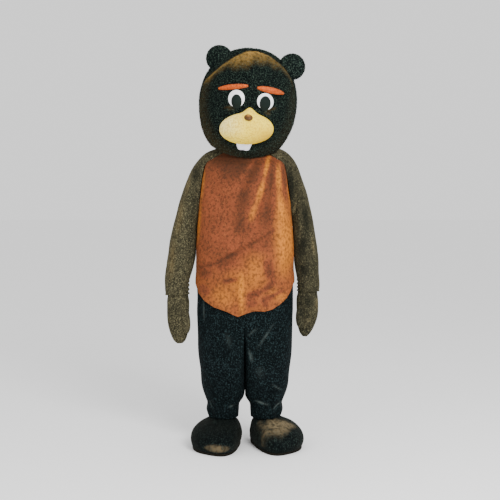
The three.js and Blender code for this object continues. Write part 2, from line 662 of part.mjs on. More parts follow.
// Eyes, pupils and brows are ovals in the head's frame. `slant` turns them, in degrees.
const FACE = ['x', 'z', 'halfX', 'halfZ', 'slant', 'edge', 'crown'];
const EYES = table(FACE, [[-48, -2, 34.5, 37, 4, 3, 9], [75, -1, 34.5, 35.5, 2, 3, 9]]);
const PUPILS = table(FACE, [[-45, -15, 21, 30, 4, 1.4, 2.6], [71, -12, 21, 30, 2, 1.4, 2.6]]);
const BROWS = table(FACE, [[-67, 47, 66, 12, 10, 4, 9], [93, 51, 60, 15, -4, 4, 9]]);
const MUZZLE = { x: 7, z: -122, halfX: 114, halfZ: 64, slant: 6, edge: 6, crown: 50, peakX: 15, peakWide: 24,
  peak: 0.36 };
const NOSE = { x: 9.5, z: -71, halfX: 15.5, halfZ: 11, slant: 0, edge: 3, crown: 7 };
const TEETH = { x: 3, z: -194, halfX: 31, halfZ: 22, thick: 11, narrow: 0.17, power: 5 };
const EYE_SIZE = { rings: 3, around: 12 };
const MUZZLE_SIZE = { rings: 4, around: 22 };

const turned = (f, u, v) => {
  const a = (f.slant ?? 0) * RADIANS;
  return [f.x + u * cos(a) - v * sin(a), f.z + u * sin(a) + v * cos(a)];
};
const oval = (f, more = 0) => (angle, r) => {
  const [u, v] = [r * (f.halfX + more) * cos(angle), r * (f.halfZ + more) * sin(angle)];
  return turned(f, u, v);
};
const domed = (f, more = 0) => (x, z, r) => f.edge + more + f.crown * (1 - r * r);

// The muzzle's oval is stretched to a peak at the top, and swells steeply from its edge.
const peakStretch = (u) => 1 + MUZZLE.peak * exp(-(((u - MUZZLE.peakX) / MUZZLE.peakWide) ** 2));
const muzzleEdge = (more) => (angle, r) => {
  const u = r * (MUZZLE.halfX + more) * cos(angle);
  const v = r * (MUZZLE.halfZ + more) * sin(angle);
  return turned(MUZZLE, u, v > 0 ? v * peakStretch(u) : v);
};
const muzzleHeight = (more) => (x, z, r) => MUZZLE.edge + more + MUZZLE.crown * max(1 - r * r, 0) ** 0.7;

// The height of the muzzle under any point of the front view.
function muzzleUnder(x, z) {
  const a = MUZZLE.slant * RADIANS;
  const u = (x - MUZZLE.x) * cos(a) + (z - MUZZLE.z) * sin(a);
  const v = (z - MUZZLE.z) * cos(a) - (x - MUZZLE.x) * sin(a);
  return muzzleHeight(0)(x, z, hypot(u / MUZZLE.halfX, v / MUZZLE.halfZ / (v > 0 ? peakStretch(u) : 1)));
}

// Pads start under the head's surface, and the head's own volume then trims them.
const ROOT = () => -6;
const placeHead = (made) => made.rotate([0, HEAD.lean, 0]).translate([HEAD.x, HEAD.y, HEAD.z]);

const pastTopSeam = (way) => beyondY(way * HALF_SEAM, way).rotate([TOP_SEAM.lean, 0, 0])
  .translate([0, TOP_SEAM.y, 0]);

function buildHead(shoulders) {
  const hole = steps(HEAD_HOLE.corners).slice(1).map((t) => [
    HEAD_HOLE.wide * cos(2 * PI * t), HEAD_HOLE.y + HEAD_HOLE.deep * sin(2 * PI * t)]);
  const shell = headVolume(0).subtract(headVolume(-HEAD_WALL)).subtract(levelPrism(hole, -FAR, -160));
  for (const [side, name] of SIDES) {
    const half = shell.intersect(beyondX(side * HALF_SEAM, side));
    const front = placeHead(half.intersect(pastTopSeam(-1)));
    const back = placeHead(half.intersect(pastTopSeam(1)));
    const seated = (gore) => shoulders.reduce((rest, shoulder) => rest.subtract(shoulder), gore);
    addPiece(`head_front_${name}`, seated(front), DARK_PLUSH);
    addPiece(`head_back_${name}`, seated(back), DARK_PLUSH);
  }
}

function buildFace() {
  const head = headVolume(SEAM);
  const room = (edge, top, size) => pad(edge, top, ROOT, size);
  for (const [i, [side, name]] of SIDES.entries()) {
    const [eye, pupil, brow] = [EYES[i], PUPILS[i], BROWS[i]];
    const under = (x, z) => domed(eye)(x, z, min(hypot((x - eye.x) / eye.halfX, (z - eye.z) / eye.halfZ), 1));
    const white = pad(oval(eye), domed(eye), ROOT, EYE_SIZE);
    addPiece(`eye_${name}`, placeHead(white.subtract(head)), WHITE_VINYL);
    const disc = pad(oval(pupil), (x, z, r) => under(x, z) + SEAM + domed(pupil)(x, z, r),
      (x, z) => under(x, z) - 1.5, EYE_SIZE);
    addPiece(`pupil_${name}`, placeHead(disc.subtract(room(oval(eye, SEAM), domed(eye, SEAM), EYE_SIZE))
      .subtract(head)), BLACK_VINYL);
    const stuffed = pad(oval(brow), domed(brow), ROOT, EYE_SIZE);
    addPiece(`brow_${name}`, placeHead(stuffed.subtract(head)), BROW_PLUSH);
    const ball = new THREE.SphereGeometry(1, 12, 8).scale(EAR.radius, EAR.thick, EAR.radius)
      .translate(EARS[side][0], EAR.y, EARS[side][1]);
    addPiece(`ear_${name}`, placeHead(fromGeometry(ball).subtract(head)), DARK_PLUSH);
  }
  const muzzleRoom = room(muzzleEdge(SEAM), muzzleHeight(SEAM), MUZZLE_SIZE);
  const muzzle = pad(muzzleEdge(0), muzzleHeight(0), ROOT, MUZZLE_SIZE);
  const nose = pad(oval(NOSE), (x, z, r) => muzzleUnder(x, z) + domed(NOSE)(x, z, r),
    (x, z) => muzzleUnder(x, z) - 6, EYE_SIZE);
  const tooth = (angle, r) => {
    const v = bent(sin(angle), TEETH.power);
    const u = bent(cos(angle), TEETH.power) * (1 + TEETH.narrow * v);
    return [TEETH.x + r * TEETH.halfX * u, TEETH.z + r * TEETH.halfZ * v];
  };
  const teeth = pad(tooth, () => TEETH.thick, ROOT, EYE_SIZE);
  addPiece('muzzle', placeHead(muzzle.subtract(head)), CREAM_PLUSH);
  addPiece('nose', placeHead(nose.subtract(muzzleRoom)), NOSE_VINYL);
  addPiece('teeth', placeHead(teeth.subtract(muzzleRoom).subtract(head)), WHITE_VINYL);
}

const shoulders = buildSuit();
buildMitts();
buildFeet();
buildHead(shoulders);
buildFace();

export default costume;
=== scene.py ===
# A worn beaver mascot costume: plush head, one-piece suit, mitts and foot covers, on a pale studio floor.
# Sizes are in millimetres above the floor, with the front facing -Y, until a piece is put in the frame.
from math import radians

import bmesh
import bpy
import numpy as np
from bpy.props import FloatProperty, FloatVectorProperty, IntProperty, PointerProperty
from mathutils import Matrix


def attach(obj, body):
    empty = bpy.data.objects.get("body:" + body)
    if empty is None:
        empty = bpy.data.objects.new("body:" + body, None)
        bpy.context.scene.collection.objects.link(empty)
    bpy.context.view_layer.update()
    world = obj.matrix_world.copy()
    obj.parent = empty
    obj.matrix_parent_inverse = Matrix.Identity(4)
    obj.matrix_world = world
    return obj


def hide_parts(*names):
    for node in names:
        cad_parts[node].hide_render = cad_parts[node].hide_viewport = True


bl_info = {
    "name": "Beaver Mascot Costume",
    "version": (1, 0, 0),
    "blender": (4, 5, 0),
    "location": "View3D > Sidebar > Costume",
    "description": "Sews the pieces of a worn mascot costume over its packed model",
    "category": "Add Mesh",
}

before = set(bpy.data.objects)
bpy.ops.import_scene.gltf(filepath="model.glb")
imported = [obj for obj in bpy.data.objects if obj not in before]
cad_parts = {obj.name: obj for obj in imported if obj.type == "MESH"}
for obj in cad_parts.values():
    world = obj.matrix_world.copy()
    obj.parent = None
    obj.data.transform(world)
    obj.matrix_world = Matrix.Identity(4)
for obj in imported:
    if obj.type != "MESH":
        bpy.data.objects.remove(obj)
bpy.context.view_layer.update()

NECK_HEIGHT = 1330
CLOTH = 2.5
SEAM = 0.3
HALF_SEAM = SEAM / 2
HEAD_WALL = 8
# The backing of the head's plush lies this far inside its outline, so that the pile ends at the outline.
PILE_ROOM = 3.5
SOLE = 9
SIDE_SEAM_Y = 4
# The side seams show below the first height. The sleeves are sewn on between the other two.
SIDE_SEAM_TOP = 820
UNDERARM, SHOULDER = 1060, 1270
FRONT_LAP = 16
FAR = 2500
LEFT, RIGHT = -1, 1
SIDES = ((LEFT, "left"), (RIGHT, "right"))
PI = np.pi

# Folds are soft ridges (above 0) and troughs (below 0) between two points of the front view:
# x0, z0, x1, z1, wide, high.
PANEL_FOLDS = [
    (122, 1268, 60, 950, 18, 8), (148, 1215, 170, 790, 22, 9), (80, 1262, -10, 1110, 16, 6),
    (100, 1250, 34, 920, 16, -8), (134, 1230, 112, 880, 18, -8), (50, 1262, -50, 1050, 18, -7),
    (-215, 765, 105, 925, 20, -9), (-195, 805, 125, 978, 22, 7), (60, 890, 195, 955, 16, -5),
    (-24, 790, -20, 575, 14, 7), (10, 665, 115, 745, 13, -7), (60, 608, 180, 690, 13, -6),
    (-95, 720, -20, 742, 13, -5), (-150, 1160, -60, 1010, 28, -4),
]
LEG_FOLDS = [
    (105, 560, 30, 440, 16, 6), (150, 470, 50, 350, 16, -5), (190, 250, 100, 300, 16, 6),
    (20, 215, 125, 175, 14, 7), (175, 190, 120, 148, 13, -6), (-40, 520, -120, 380, 18, -5),
    (-185, 330, -90, 240, 18, 5), (-70, 150, -20, 215, 13, 6), (-168, 200, -100, 160, 13, -5),
]
BACK_FOLDS = [
    (-130, 1230, -95, 860, 22, 6), (115, 1240, 140, 850, 20, -6), (-75, 1180, -60, 900, 18, -5),
    (70, 1150, 60, 880, 18, 5), (-175, 800, -50, 690, 20, -6), (60, 640, 175, 700, 20, 6),
    (-150, 450, -50, 400, 16, -5), (60, 400, 165, 450, 16, -5), (-160, 200, -60, 165, 14, 5),
    (50, 175, 150, 205, 14, -5),
]
SLEEVE_FOLDS = [
    (-182, 1250, -208, 1110, 15, -6), (-262, 1180, -222, 1030, 16, 5), (-352, 810, -258, 760, 15, -5),
    (-340, 905, -235, 850, 18, 4), (252, 1185, 240, 960, 15, 7), (215, 1190, 226, 1020, 14, -6),
    (322, 900, 262, 790, 15, 6), (238, 770, 322, 742, 13, -6), (320, 822, 242, 850, 14, -5),
]
# Fine creases, in the same columns.
PANEL_CREASES = [
    (-208, 794, -117, 816, 6, -2), (-134, 811, 9, 890, 6, -3.2), (1, 888, 83, 927, 6, -2.6),
    (75, 925, 136, 968, 5, -1.8), (-99, 736, -25, 747, 7, -2), (-4, 661, 79, 700, 7, -2.4),
    (62, 648, 175, 696, 6, -2), (75, 692, 136, 744, 6, -2), (92, 840, 114, 740, 9, -1.8),
    (-12, 650, -13, 587, 8, 2), (112, 1305, 83, 1179, 8, 2.4), (86, 1188, 51, 1070, 8, 2),
    (49, 1275, -1, 1214, 8, 2), (-170, 1020, -100, 930, 10, -1.4), (-60, 1120, -110, 1050, 12, -1.4),
    (-150, 900, -60, 980, 12, 1.4), (-186, 1180, -160, 1060, 9, 1.2), (150, 700, 200, 760, 8, 1.6),
]
LEG_CREASES = [
    (38, 208, 112, 184, 7, 2.6), (122, 163, 169, 202, 7, 2.6), (-74, 174, -43, 185, 6, 1.8),
    (112, 288, 173, 246, 7, 1.8), (57, 534, 14, 502, 7, 1.6), (-150, 300, -60, 262, 9, -2),
    (40, 150, 120, 136, 7, -2.2), (-150, 150, -60, 138, 7, -2.2), (60, 330, 150, 372, 9, 1.6),
    (-180, 236, -110, 214, 8, -2), (90, 236, 176, 224, 7, -2), (-120, 600, -60, 480, 14, 1.6),
]
SLEEVE_CREASES = [
    (-336, 735, -262, 716, 6, -2), (-330, 780, -250, 800, 8, -1.8), (-318, 960, -240, 930, 10, -1.6),
    (240, 800, 316, 776, 7, -2.2), (262, 1010, 300, 960, 8, 1.6), (216, 1130, 250, 1080, 9, -1.6),
    (-230, 1180, -196, 1090, 9, -1.6), (238, 905, 300, 872, 8, -1.8), (250, 735, 320, 722, 6, -2),
    (-320, 640, -290, 612, 6, -2.2), (-336, 600, -312, 590, 6, -2.4), (-312, 590, -294, 622, 6, -2),
    (262, 690, 298, 684, 6, -2.2), (298, 684, 322, 662, 6, -2), (250, 640, 276, 612, 6, 1.8),
]

# Tones are painted light and shade between two points of the front view: a share above 0 is a painted
# highlight, and below 0 painted shade. x0, z0, x1, z1, wide, share.
PANEL_PAINTED_LIGHT_AND_SHADE = [
    (112, 1305, 83, 1179, 9, 1), (86, 1188, 51, 1070, 10, 0.9), (55, 1092, 18, 988, 12, 0.45),
    (146, 1266, 152, 1109, 11, 0.8), (151, 1136, 166, 996, 12, 0.9), (167, 1110, 173, 730, 30, 0.95),
    (201, 1040, 207, 790, 13, 0.5), (49, 1275, -1, 1214, 9, 0.8), (1, 1218, -34, 1162, 9, 0.7),
    (-177, 1250, -198, 1070, 7, 0.5), (-196, 1092, -212, 880, 7, 0.55), (186, 1250, 205, 1027, 7, 0.5),
    (-16, 800, -13, 575, 10, 0.8), (60, 880, 30, 680, 44, 0.35), (100, 692, 200, 650, 18, 0.4),
    (-143, 710, -40, 630, 40, 0.3), (-60, 800, 0, 640, 34, 0.25),
    (68, 1268, 5, 1136, 22, -0.9), (12, 1165, -21, 1040, 25, -0.9), (-17, 1076, -30, 924, 20, -0.6),
    (125, 1288, 104, 1092, 14, -0.75), (107, 1119, 84, 950, 19, -0.7), (168, 1266, 181, 1136, 10, -0.5),
    # The strokes on the next line are the painted shadow of the head under the chin.
    (-200, 1264, 100, 1270, 40, -1.4), (-120, 1216, 30, 1224, 40, -0.8), (-38, 1179, -4, 1188, 27, -0.45),
    (-212, 794, -117, 816, 7, -0.8), (-134, 811, 9, 890, 8, -0.95), (1, 888, 83, 927, 7, -0.85),
    (75, 925, 136, 968, 6, -0.6), (-205, 766, -143, 779, 14, -0.6), (-125, 796, -38, 838, 12, -0.5),
    (-99, 736, -25, 747, 8, -0.6), (92, 840, 114, 740, 15, -0.6), (75, 692, 136, 744, 8, -0.7),
    (-4, 661, 79, 700, 11, -0.65), (62, 648, 175, 696, 8, -0.65), (75, 635, 101, 648, 12, -0.5),
    (5, 635, 57, 648, 10, -0.4), (-199, 718, -160, 674, 14, -0.35), (-60, 1000, 40, 940, 26, -0.25),
]
# Painted highlights on the trousers' folds.
LEG_PAINTED_HIGHLIGHTS = [
    (132, 559, 49, 436, 3.4, 0.3), (57, 534, 14, 502, 3.4, 0.28), (15, 441, 30, 379, 3, 0.3),
    (112, 288, 173, 246, 3, 0.26), (38, 208, 112, 184, 4.5, 0.5), (122, 163, 169, 202, 4, 0.45),
    (-74, 174, -43, 185, 4, 0.25), (-183, 668, -179, 545, 3, 0.22), (57, 371, 84, 305, 15, 0.07),
    (-82, 524, -65, 436, 12, 0.07), (-161, 209, -144, 161, 3, 0.18),
]
# Painted highlights and painted shade along the folds of the sleeves and mitts; the darkest strokes at the
# shoulders are painted shade at the armholes.
ARM_PAINTED_LIGHT_AND_SHADE = [
    (-231, 1255, -272, 1091, 11, 0.25), (-276, 1113, -307, 912, 14, 0.3), (-316, 935, -334, 712, 14, 0.3),
    (232, 1131, 210, 993, 5, 0.7), (250, 1180, 268, 1104, 6, 0.5), (294, 966, 312, 814, 9, 0.7),
    (227, 1024, 214, 890, 7, 0.5), (285, 814, 263, 712, 9, 0.4), (321, 681, 317, 578, 9, 0.8),
    (303, 592, 268, 529, 8, 0.6), (245, 979, 241, 912, 5, 0.4),
    (-211, 1269, -227, 1153, 16, -0.9), (-218, 1171, -236, 979, 9, -0.7), (-240, 1002, -254, 814, 7, -0.35),
    (-316, 645, -298, 565, 12, -0.6), (-263, 699, -249, 592, 5, -0.3), (201, 1247, 205, 1068, 15, -0.9),
    (259, 1091, 281, 935, 13, -0.8), (263, 948, 245, 814, 16, -0.9), (245, 814, 285, 734, 15, -0.7),
    (268, 676, 288, 606, 17, -0.6), (245, 623, 259, 565, 10, -0.7), (268, 592, 299, 556, 7, -0.4),
]
# Painted light and shade of the foot covers, in the same columns but seen from above: x0, y0, x1, y1. Shares
# above 0 are painted tan light on the right foot's top, and below 0 painted shade in its creases.
FOOT_PAINTED_LIGHT_AND_SHADE = [
    (96, -70, 206, -118, 34, 0.62), (84, -112, 196, -160, 30, 0.62), (70, -166, 170, -186, 22, 0.5),
    (150, -60, 224, -100, 24, 0.5), (60, -60, 84, -150, 12, 0.25),
    (112, -110, 178, -136, 4, -0.6), (92, -150, 132, -160, 4, -0.5), (128, -90, 160, -104, 4, -0.4),
]
# Painted highlights on the cheeks, in the head's own front view.
CHEEK_PAINTED_HIGHLIGHTS = [(-100, -46, -44, -30, 4, 0.14), (82, -40, 128, -20, 4, 0.16), (74, -44, 104, -54, 6, 0.15),
               (-84, -54, -50, -46, 4, 0.1)]
# A painted highlight on the left toe, in the front view.
TOE_PAINTED_HIGHLIGHT = {"x": -118, "z": 33, "half_x": 62, "half_z": 20, "share": 0.9}


def smooth(t):
    """A soft step from 0 to 1."""
    s = np.clip(t, 0, 1)
    return s * s * (3 - 2 * s)


def bent(value, power):
    """A superellipse's cosine or sine: power 2 is a circle, and more is squarer."""
    return np.sign(value) * np.abs(value) ** (2 / power)


def steps(count):
    return np.linspace(0, 1, count + 1)


def between(rows, places):
    """The values at places from 0 to 1 down a table, on a smooth curve through its rows."""
    rows = np.asarray(rows, float)
    at = np.clip(places, 0, 1) * (len(rows) - 1)
    i = np.minimum(at.astype(int), len(rows) - 2)
    f = (at - i)[:, None]
    a, b, c, d = rows[np.maximum(i - 1, 0)], rows[i], rows[i + 1], rows[np.minimum(i + 2, len(rows) - 1)]
    return ((2 * f**3 - 3 * f**2 + 1) * b + (3 * f**2 - 2 * f**3) * c
            + (f**3 - 2 * f**2 + f) * (c - a) / 2 + (f**3 - f**2) * (d - b) / 2)


def place_of(rows, heights):
    """How far down a table heights lie, from 0 to 1."""
    levels = np.array([row[0] for row in rows], float)
    return np.interp(-np.asarray(heights, float), -levels, steps(len(rows) - 1))


def along_strokes(rows, x, z, ends=0.5):
    """The sum of soft strokes at points of a flat view; a larger `ends` fades their ends sooner."""
    total = np.zeros_like(x)
    for x0, z0, x1, z1, wide, high in rows:
        dx, dz = x1 - x0, z1 - z0
        along = ((x - x0) * dx + (z - z0) * dz) / (dx * dx + dz * dz)
        across = ((x - x0) * dz - (z - z0) * dx) / np.hypot(dx, dz)
        inside = np.sin(PI * np.clip(along, 0, 1)) ** ends
        total += high * inside * np.exp(-((across / wide) ** 2))
    return total


def rumple(points, high, wave):
    """The small unevenness of soft cloth, as crossing waves of no one direction."""
    x, y, z = points[..., 0] / wave, points[..., 1] / wave, points[..., 2] / wave
    return high * (np.sin(4.1 * x + 2.3 * z + 1.3 * y) + np.sin(-2.9 * x + 3.7 * z + 2.1)
                   * np.cos(2.2 * y + 0.7)
                   + 0.6 * np.sin(6.3 * z - 5.1 * y + 3.3 * x + 0.4)) / 2


def seam_dip(distance, wide=7, deep=2.4):
    """How far cloth is drawn in beside a seam."""
    return -deep * np.exp(-((distance / wide) ** 2))


def side_seam_dip(y, z):
    return seam_dip(y - SIDE_SEAM_Y) * smooth((SIDE_SEAM_TOP - z) / 50)


def armhole_dip(distance, z):
    """The dip beside the seam of a sleeve, by how far points lie outside the piece it is sewn to."""
    return seam_dip(np.maximum(distance, 0), 9, 3) * smooth((z - UNDERARM) / 60) * smooth((SHOULDER - z) / 50)


# Nets are rows of outer points that go down, each row clockwise as seen from above. A closed net's rows
# join round into rings.
def unit(vectors):
    return vectors / np.maximum(np.linalg.norm(vectors, axis=-1, keepdims=True), 1e-9)


def normals_of(net, closed):
    if closed:
        around = np.roll(net, -1, axis=1) - np.roll(net, 1, axis=1)
    else:
        around = np.gradient(net, axis=1)
    return unit(np.cross(around, np.gradient(net, axis=0)))


def grown(net, by, closed=True):
    return net + by * normals_of(net, closed)


def grid_faces(first, rows, cols, closed, flip):
    last = cols if closed else cols - 1
    r, c = np.meshgrid(np.arange(rows - 1), np.arange(last), indexing="ij")
    a = (first + r * cols + c).ravel()
    b = (first + r * cols + (c + 1) % cols).ravel()
    if flip:
        return np.concatenate([np.stack([a, b + cols, b], 1), np.stack([a, a + cols, b + cols], 1)])
    return np.concatenate([np.stack([a, b, b + cols], 1), np.stack([a, b + cols, a + cols], 1)])


def mesh_of(points, faces):
    mesh = bpy.data.meshes.new("sewn")
    mesh.from_pydata(np.asarray(points).tolist(), [], np.asarray(faces).tolist())
    return mesh


def fan(ring, middle, flip):
    """Triangles from a middle point to a ring of point numbers."""
    after = np.roll(ring, -1)
    middles = np.full(len(ring), middle)
    return np.stack([middles, ring, after] if flip else [middles, after, ring], 1)


def wall(net, thickness, closed=True, tip=False):
    """A wall of cloth under a net: open at its ends, or closed at the last row when it has a tip."""
    rows, cols = net.shape[:2]
    count = rows * cols
    points = [net.reshape(-1, 3), grown(net, -thickness, closed).reshape(-1, 3)]
    faces = [grid_faces(0, rows, cols, closed, False), grid_faces(count, rows, cols, closed, True)]

    def rim(a, b):
        faces.append(np.concatenate([np.stack([a, count + b, b], 1), np.stack([a, count + a, count + b], 1)]))

    c = np.arange(cols if closed else cols - 1)
    after = (c + 1) % cols
    last = count - cols
    rim(c, after)
    if not tip:
        rim(last + after, last + c)
    if not closed:
        r = np.arange(rows - 1) * cols
        rim(r + cols, r)
        rim(r + cols - 1, r + 2 * cols - 1)
    if tip:
        ring = np.arange(last, count)
        points += [points[0][last:].mean(0, keepdims=True), points[1][last:].mean(0, keepdims=True)]
        faces += [fan(ring, 2 * count, True), fan(ring + count, 2 * count + 1, False)]
    return mesh_of(np.concatenate(points), np.concatenate(faces))


def filled(net, by=0.0):
    """The whole volume inside a closed net grown outwards."""
    rows, cols = net.shape[:2]
    count = rows * cols
    points = grown(net, by).reshape(-1, 3)
    ends = [points[:cols].mean(0, keepdims=True), points[-cols:].mean(0, keepdims=True)]
    faces = [grid_faces(0, rows, cols, True, False), fan(np.arange(cols), count, False),
             fan(np.arange(count - cols, count), count + 1, True)]
    return mesh_of(np.concatenate([points, *ends]), np.concatenate(faces))


def box(x0, x1, y0, y1, z0, z1):
    made = bmesh.new()
    bmesh.ops.create_cube(made, size=1)
    for vert in made.verts:
        vert.co = [(low + high) / 2 + (high - low) * at
                   for low, high, at in ((x0, x1, vert.co.x), (y0, y1, vert.co.y), (z0, z1, vert.co.z))]
    mesh = bpy.data.meshes.new("box")
    made.to_mesh(mesh)
    made.free()
    return mesh


def beyond(axis, place, way):
    """The half space past a place along X (0), Y (1) or Z (2)."""
    spans = [(-FAR, FAR)] * 3
    spans[axis] = (place, FAR) if way > 0 else (-FAR, place)
    return box(*spans[0], *spans[1], *spans[2])


def prism(outline, low, high, axes):
    """A flat outline pushed from low to high. axes says which axes its two values and the push lie on."""
    made = bmesh.new()
    corners = []
    for u, v in outline:
        place = [0.0, 0.0, 0.0]
        place[axes[0]], place[axes[1]], place[axes[2]] = u, v, low
        corners.append(made.verts.new(place))
    base = made.faces.new(corners)
    pushed = bmesh.ops.extrude_face_region(made, geom=[base])
    shift = [0.0, 0.0, 0.0]
    shift[axes[2]] = high - low
    moved = [item for item in pushed["geom"] if isinstance(item, bmesh.types.BMVert)]
    bmesh.ops.translate(made, verts=moved, vec=shift)
    bmesh.ops.triangulate(made, faces=made.faces)
    bmesh.ops.recalc_face_normals(made, faces=made.faces)
    mesh = bpy.data.meshes.new("prism")
    made.to_mesh(mesh)
    made.free()
    return mesh


def carve(mesh, *cuts):
    """A closed mesh cut by, cropped to or joined with others, in order."""
    body = bpy.data.objects.new("carved", mesh)
    bpy.context.collection.objects.link(body)
    tools = []
    for operation, tool in cuts:
        other = bpy.data.objects.new("cutter", tool)
        bpy.context.collection.objects.link(other)
        tools.append(other)
        step = body.modifiers.new("carve", "BOOLEAN")
        step.operation, step.solver, step.object = operation, "MANIFOLD", other
    made = bpy.data.meshes.new_from_object(body.evaluated_get(bpy.context.evaluated_depsgraph_get()))
    for used in (body, *tools):
        bpy.data.objects.remove(used)
    if not made.polygons:
        raise RuntimeError("a cut left nothing of a piece")
    return made


def read_points(mesh):
    points = np.empty(len(mesh.vertices) * 3)
    mesh.vertices.foreach_get("co", points)
    return points.reshape(-1, 3)


def largest(mesh):
    """The mesh without the slivers that a cut leaves beside it."""
    edges = np.empty(len(mesh.edges) * 2, int)
    mesh.edges.foreach_get("vertices", edges)
    a, b = edges.reshape(-1, 2).T
    labels = np.arange(len(mesh.vertices))
    while True:
        low = np.minimum(labels[a], labels[b])
        after = labels.copy()
        np.minimum.at(after, a, low)
        np.minimum.at(after, b, low)
        after = after[after]
        if np.array_equal(after, labels):
            break
        labels = after
    names, counts = np.unique(labels, return_counts=True)
    if len(names) > 1:
        keep = labels == names[counts.argmax()]
        made = bmesh.new()
        made.from_mesh(mesh)
        bmesh.ops.delete(made, geom=[v for v, stays in zip(made.verts, keep) if not stays], context="VERTS")
        made.to_mesh(mesh)
        made.free()
    return mesh


# The suit's body, as one half from the centre plane outwards. `mid` is the distance of a section's
# middle from the centre plane, `out` and `in` are its half widths, `front` and `back` its depths, and
# `sink` is how far its front dips below its sides. Below the fork `in` opens it into a leg.
BODY_COLUMNS = ("z", "mid", "out", "in", "front", "back", "power", "in_power", "sink")
BODY = [
    (1358, HALF_SEAM, 100, 0, 74, 78, 2.0, 6, 60),
    (1342, HALF_SEAM, 126, 0, 86, 94, 2.0, 6, 62),
    (1318, HALF_SEAM, 156, 0, 98, 106, 2.1, 6, 56),
    (1270, HALF_SEAM, 184, 0, 116, 122, 2.2, 6, 28),
    (1200, HALF_SEAM, 196, 0, 132, 134, 2.3, 6, 6),
    (1110, HALF_SEAM, 205, 0, 145, 138, 2.4, 6, 0),
    (1020, HALF_SEAM, 210, 0, 154, 134, 2.5, 6, 0),
    (930, HALF_SEAM, 216, 0, 161, 130, 2.5, 6, 0),
    (840, HALF_SEAM, 220, 0, 165, 136, 2.5, 6, 0),
    (750, HALF_SEAM, 218, 0, 162, 148, 2.5, 6, 0),
    (660, HALF_SEAM, 215, 0, 153, 156, 2.5, 6, 0),
    (570, HALF_SEAM, 214, 0, 148, 154, 2.5, 6, 0),
    (490, 10, 202, 10, 142, 146, 2.5, 7, 0),
    (410, 38, 172, 38, 136, 136, 2.4, 6, 0),
    (330, 62, 138, 62, 126, 124, 2.4, 5, 0),
    (265, 82, 113, 82, 114, 112, 2.3, 4, 0),
    (215, 92, 90, 88, 98, 98, 2.2, 2.6, 0),
    (180, 94, 75, 70, 84, 88, 2.1, 2.2, 0),
    (150, 95, 77, 68, 86, 92, 2.0, 2.0, 0),
    (122, 95, 69, 66, 78, 84, 2.0, 2.0, 0),
]
# The backs meet the trousers' backs where the front's lower edge meets the side seams.
BACK_SEAM = 716
FORK = {"z": 500, "deep": 120}
HEM = {"waves": 5, "high": 3.5, "from": 235}
LEG_SHIFT = {LEFT: 0, RIGHT: -4}
# The legs' inner sides are drawn out a little between these heights, so that they touch.
LEGS_TOUCH = {"high": 0.5, "from": 520, "to": 226}
PANEL_EDGE = [
    (-234, 740), (-219, 716), (-205, 680), (-177, 648), (-136, 624), (-80, 606), (-53, 593), (-30, 584),
    (-9, 592), (25, 604), (49, 609), (86, 606), (119, 614), (153, 634), (183, 660), (199, 684), (213, 716),
    (230, 740),
]
PANEL_TOP, PANEL_FOOT = 1358, 568
PANEL_BAG = 5
PANEL_BEHIND = 0.03
PLACKET = {"wide": 44, "top": 1350, "bottom": 760, "clear": 2.6}

# Sleeves, mitts and thumbs: rings down a path, as x, y, z, the half width in the front view and the
# half depth.
SLEEVES = {
    LEFT: [
        (-92, 16, 1294, 40, 52), (-134, 16, 1262, 57, 58), (-158, 16, 1236, 63, 61), (-180, 16, 1204, 64, 63),
        (-206, 14, 1156, 61, 64), (-236, 9, 1085, 56, 63), (-262, 2, 1002, 52.5, 62), (-275, -6, 912, 60, 62),
        (-286, -14, 825, 62.5, 60), (-302, -20, 750, 56, 58), (-304, -24, 705, 54, 56),
        (-303, -25, 668, 54, 55),
    ],
    RIGHT: [
        (92, 16, 1298, 40, 52), (140, 16, 1266, 60, 58), (162, 16, 1240, 66, 61), (182, 16, 1208, 64, 63),
        (205, 14, 1156, 60, 64), (231, 9, 1085, 56, 63), (256.5, 2, 1002, 47.5, 62), (267, -6, 912, 52, 62),
        (274.5, -14, 825, 55.5, 60), (281, -20, 755, 51, 58), (283, -24, 715, 50, 56),
        (283, -25, 684, 50, 55),
    ],
}
MITTS = {
    LEFT: [
        (-302, -25, 700, 43, 44), (-301, -26, 664, 46, 46), (-301, -28, 636, 50, 46),
        (-301, -30, 590, 50, 44),
        (-300, -32, 550, 48, 40), (-297, -35, 515, 43, 34), (-294, -38, 485, 35, 28),
        (-292, -40, 464, 25, 21),
        (-291, -41, 452, 12, 11),
    ],
    RIGHT: [
        (282, -25, 716, 41, 43), (281, -26, 680, 44, 45), (280, -28, 652, 48, 45), (280, -30, 612, 49, 43),
        (279, -32, 576, 47, 39), (274, -35, 545, 42, 33), (270, -38, 516, 32, 27), (268, -40, 496, 22, 20),
        (267, -41, 483, 10, 10),
    ],
}
THUMBS = {
    LEFT: [
        (-284, -32, 618, 17, 17), (-272, -50, 590, 20, 20), (-265, -61, 558, 20, 19),
        (-262, -65, 528, 18, 17),
        (-262, -66, 508, 13, 12), (-262, -66, 498, 6, 6),
    ],
    RIGHT: [
        (264, -32, 640, 17, 17), (254, -50, 612, 20, 20), (247, -61, 580, 20, 19), (246, -65, 550, 18, 17),
        (248, -66, 532, 13, 12), (248, -66, 522, 6, 6),
    ],
}
MITT_LEAN = {LEFT: 2.3, RIGHT: -1.3}
SLEEVE_POWER, MITT_POWER, THUMB_POWER = 2.1, 2.2, 2
CUFF = {"from": 0.8, "waves": 4.5, "high": 2.6}

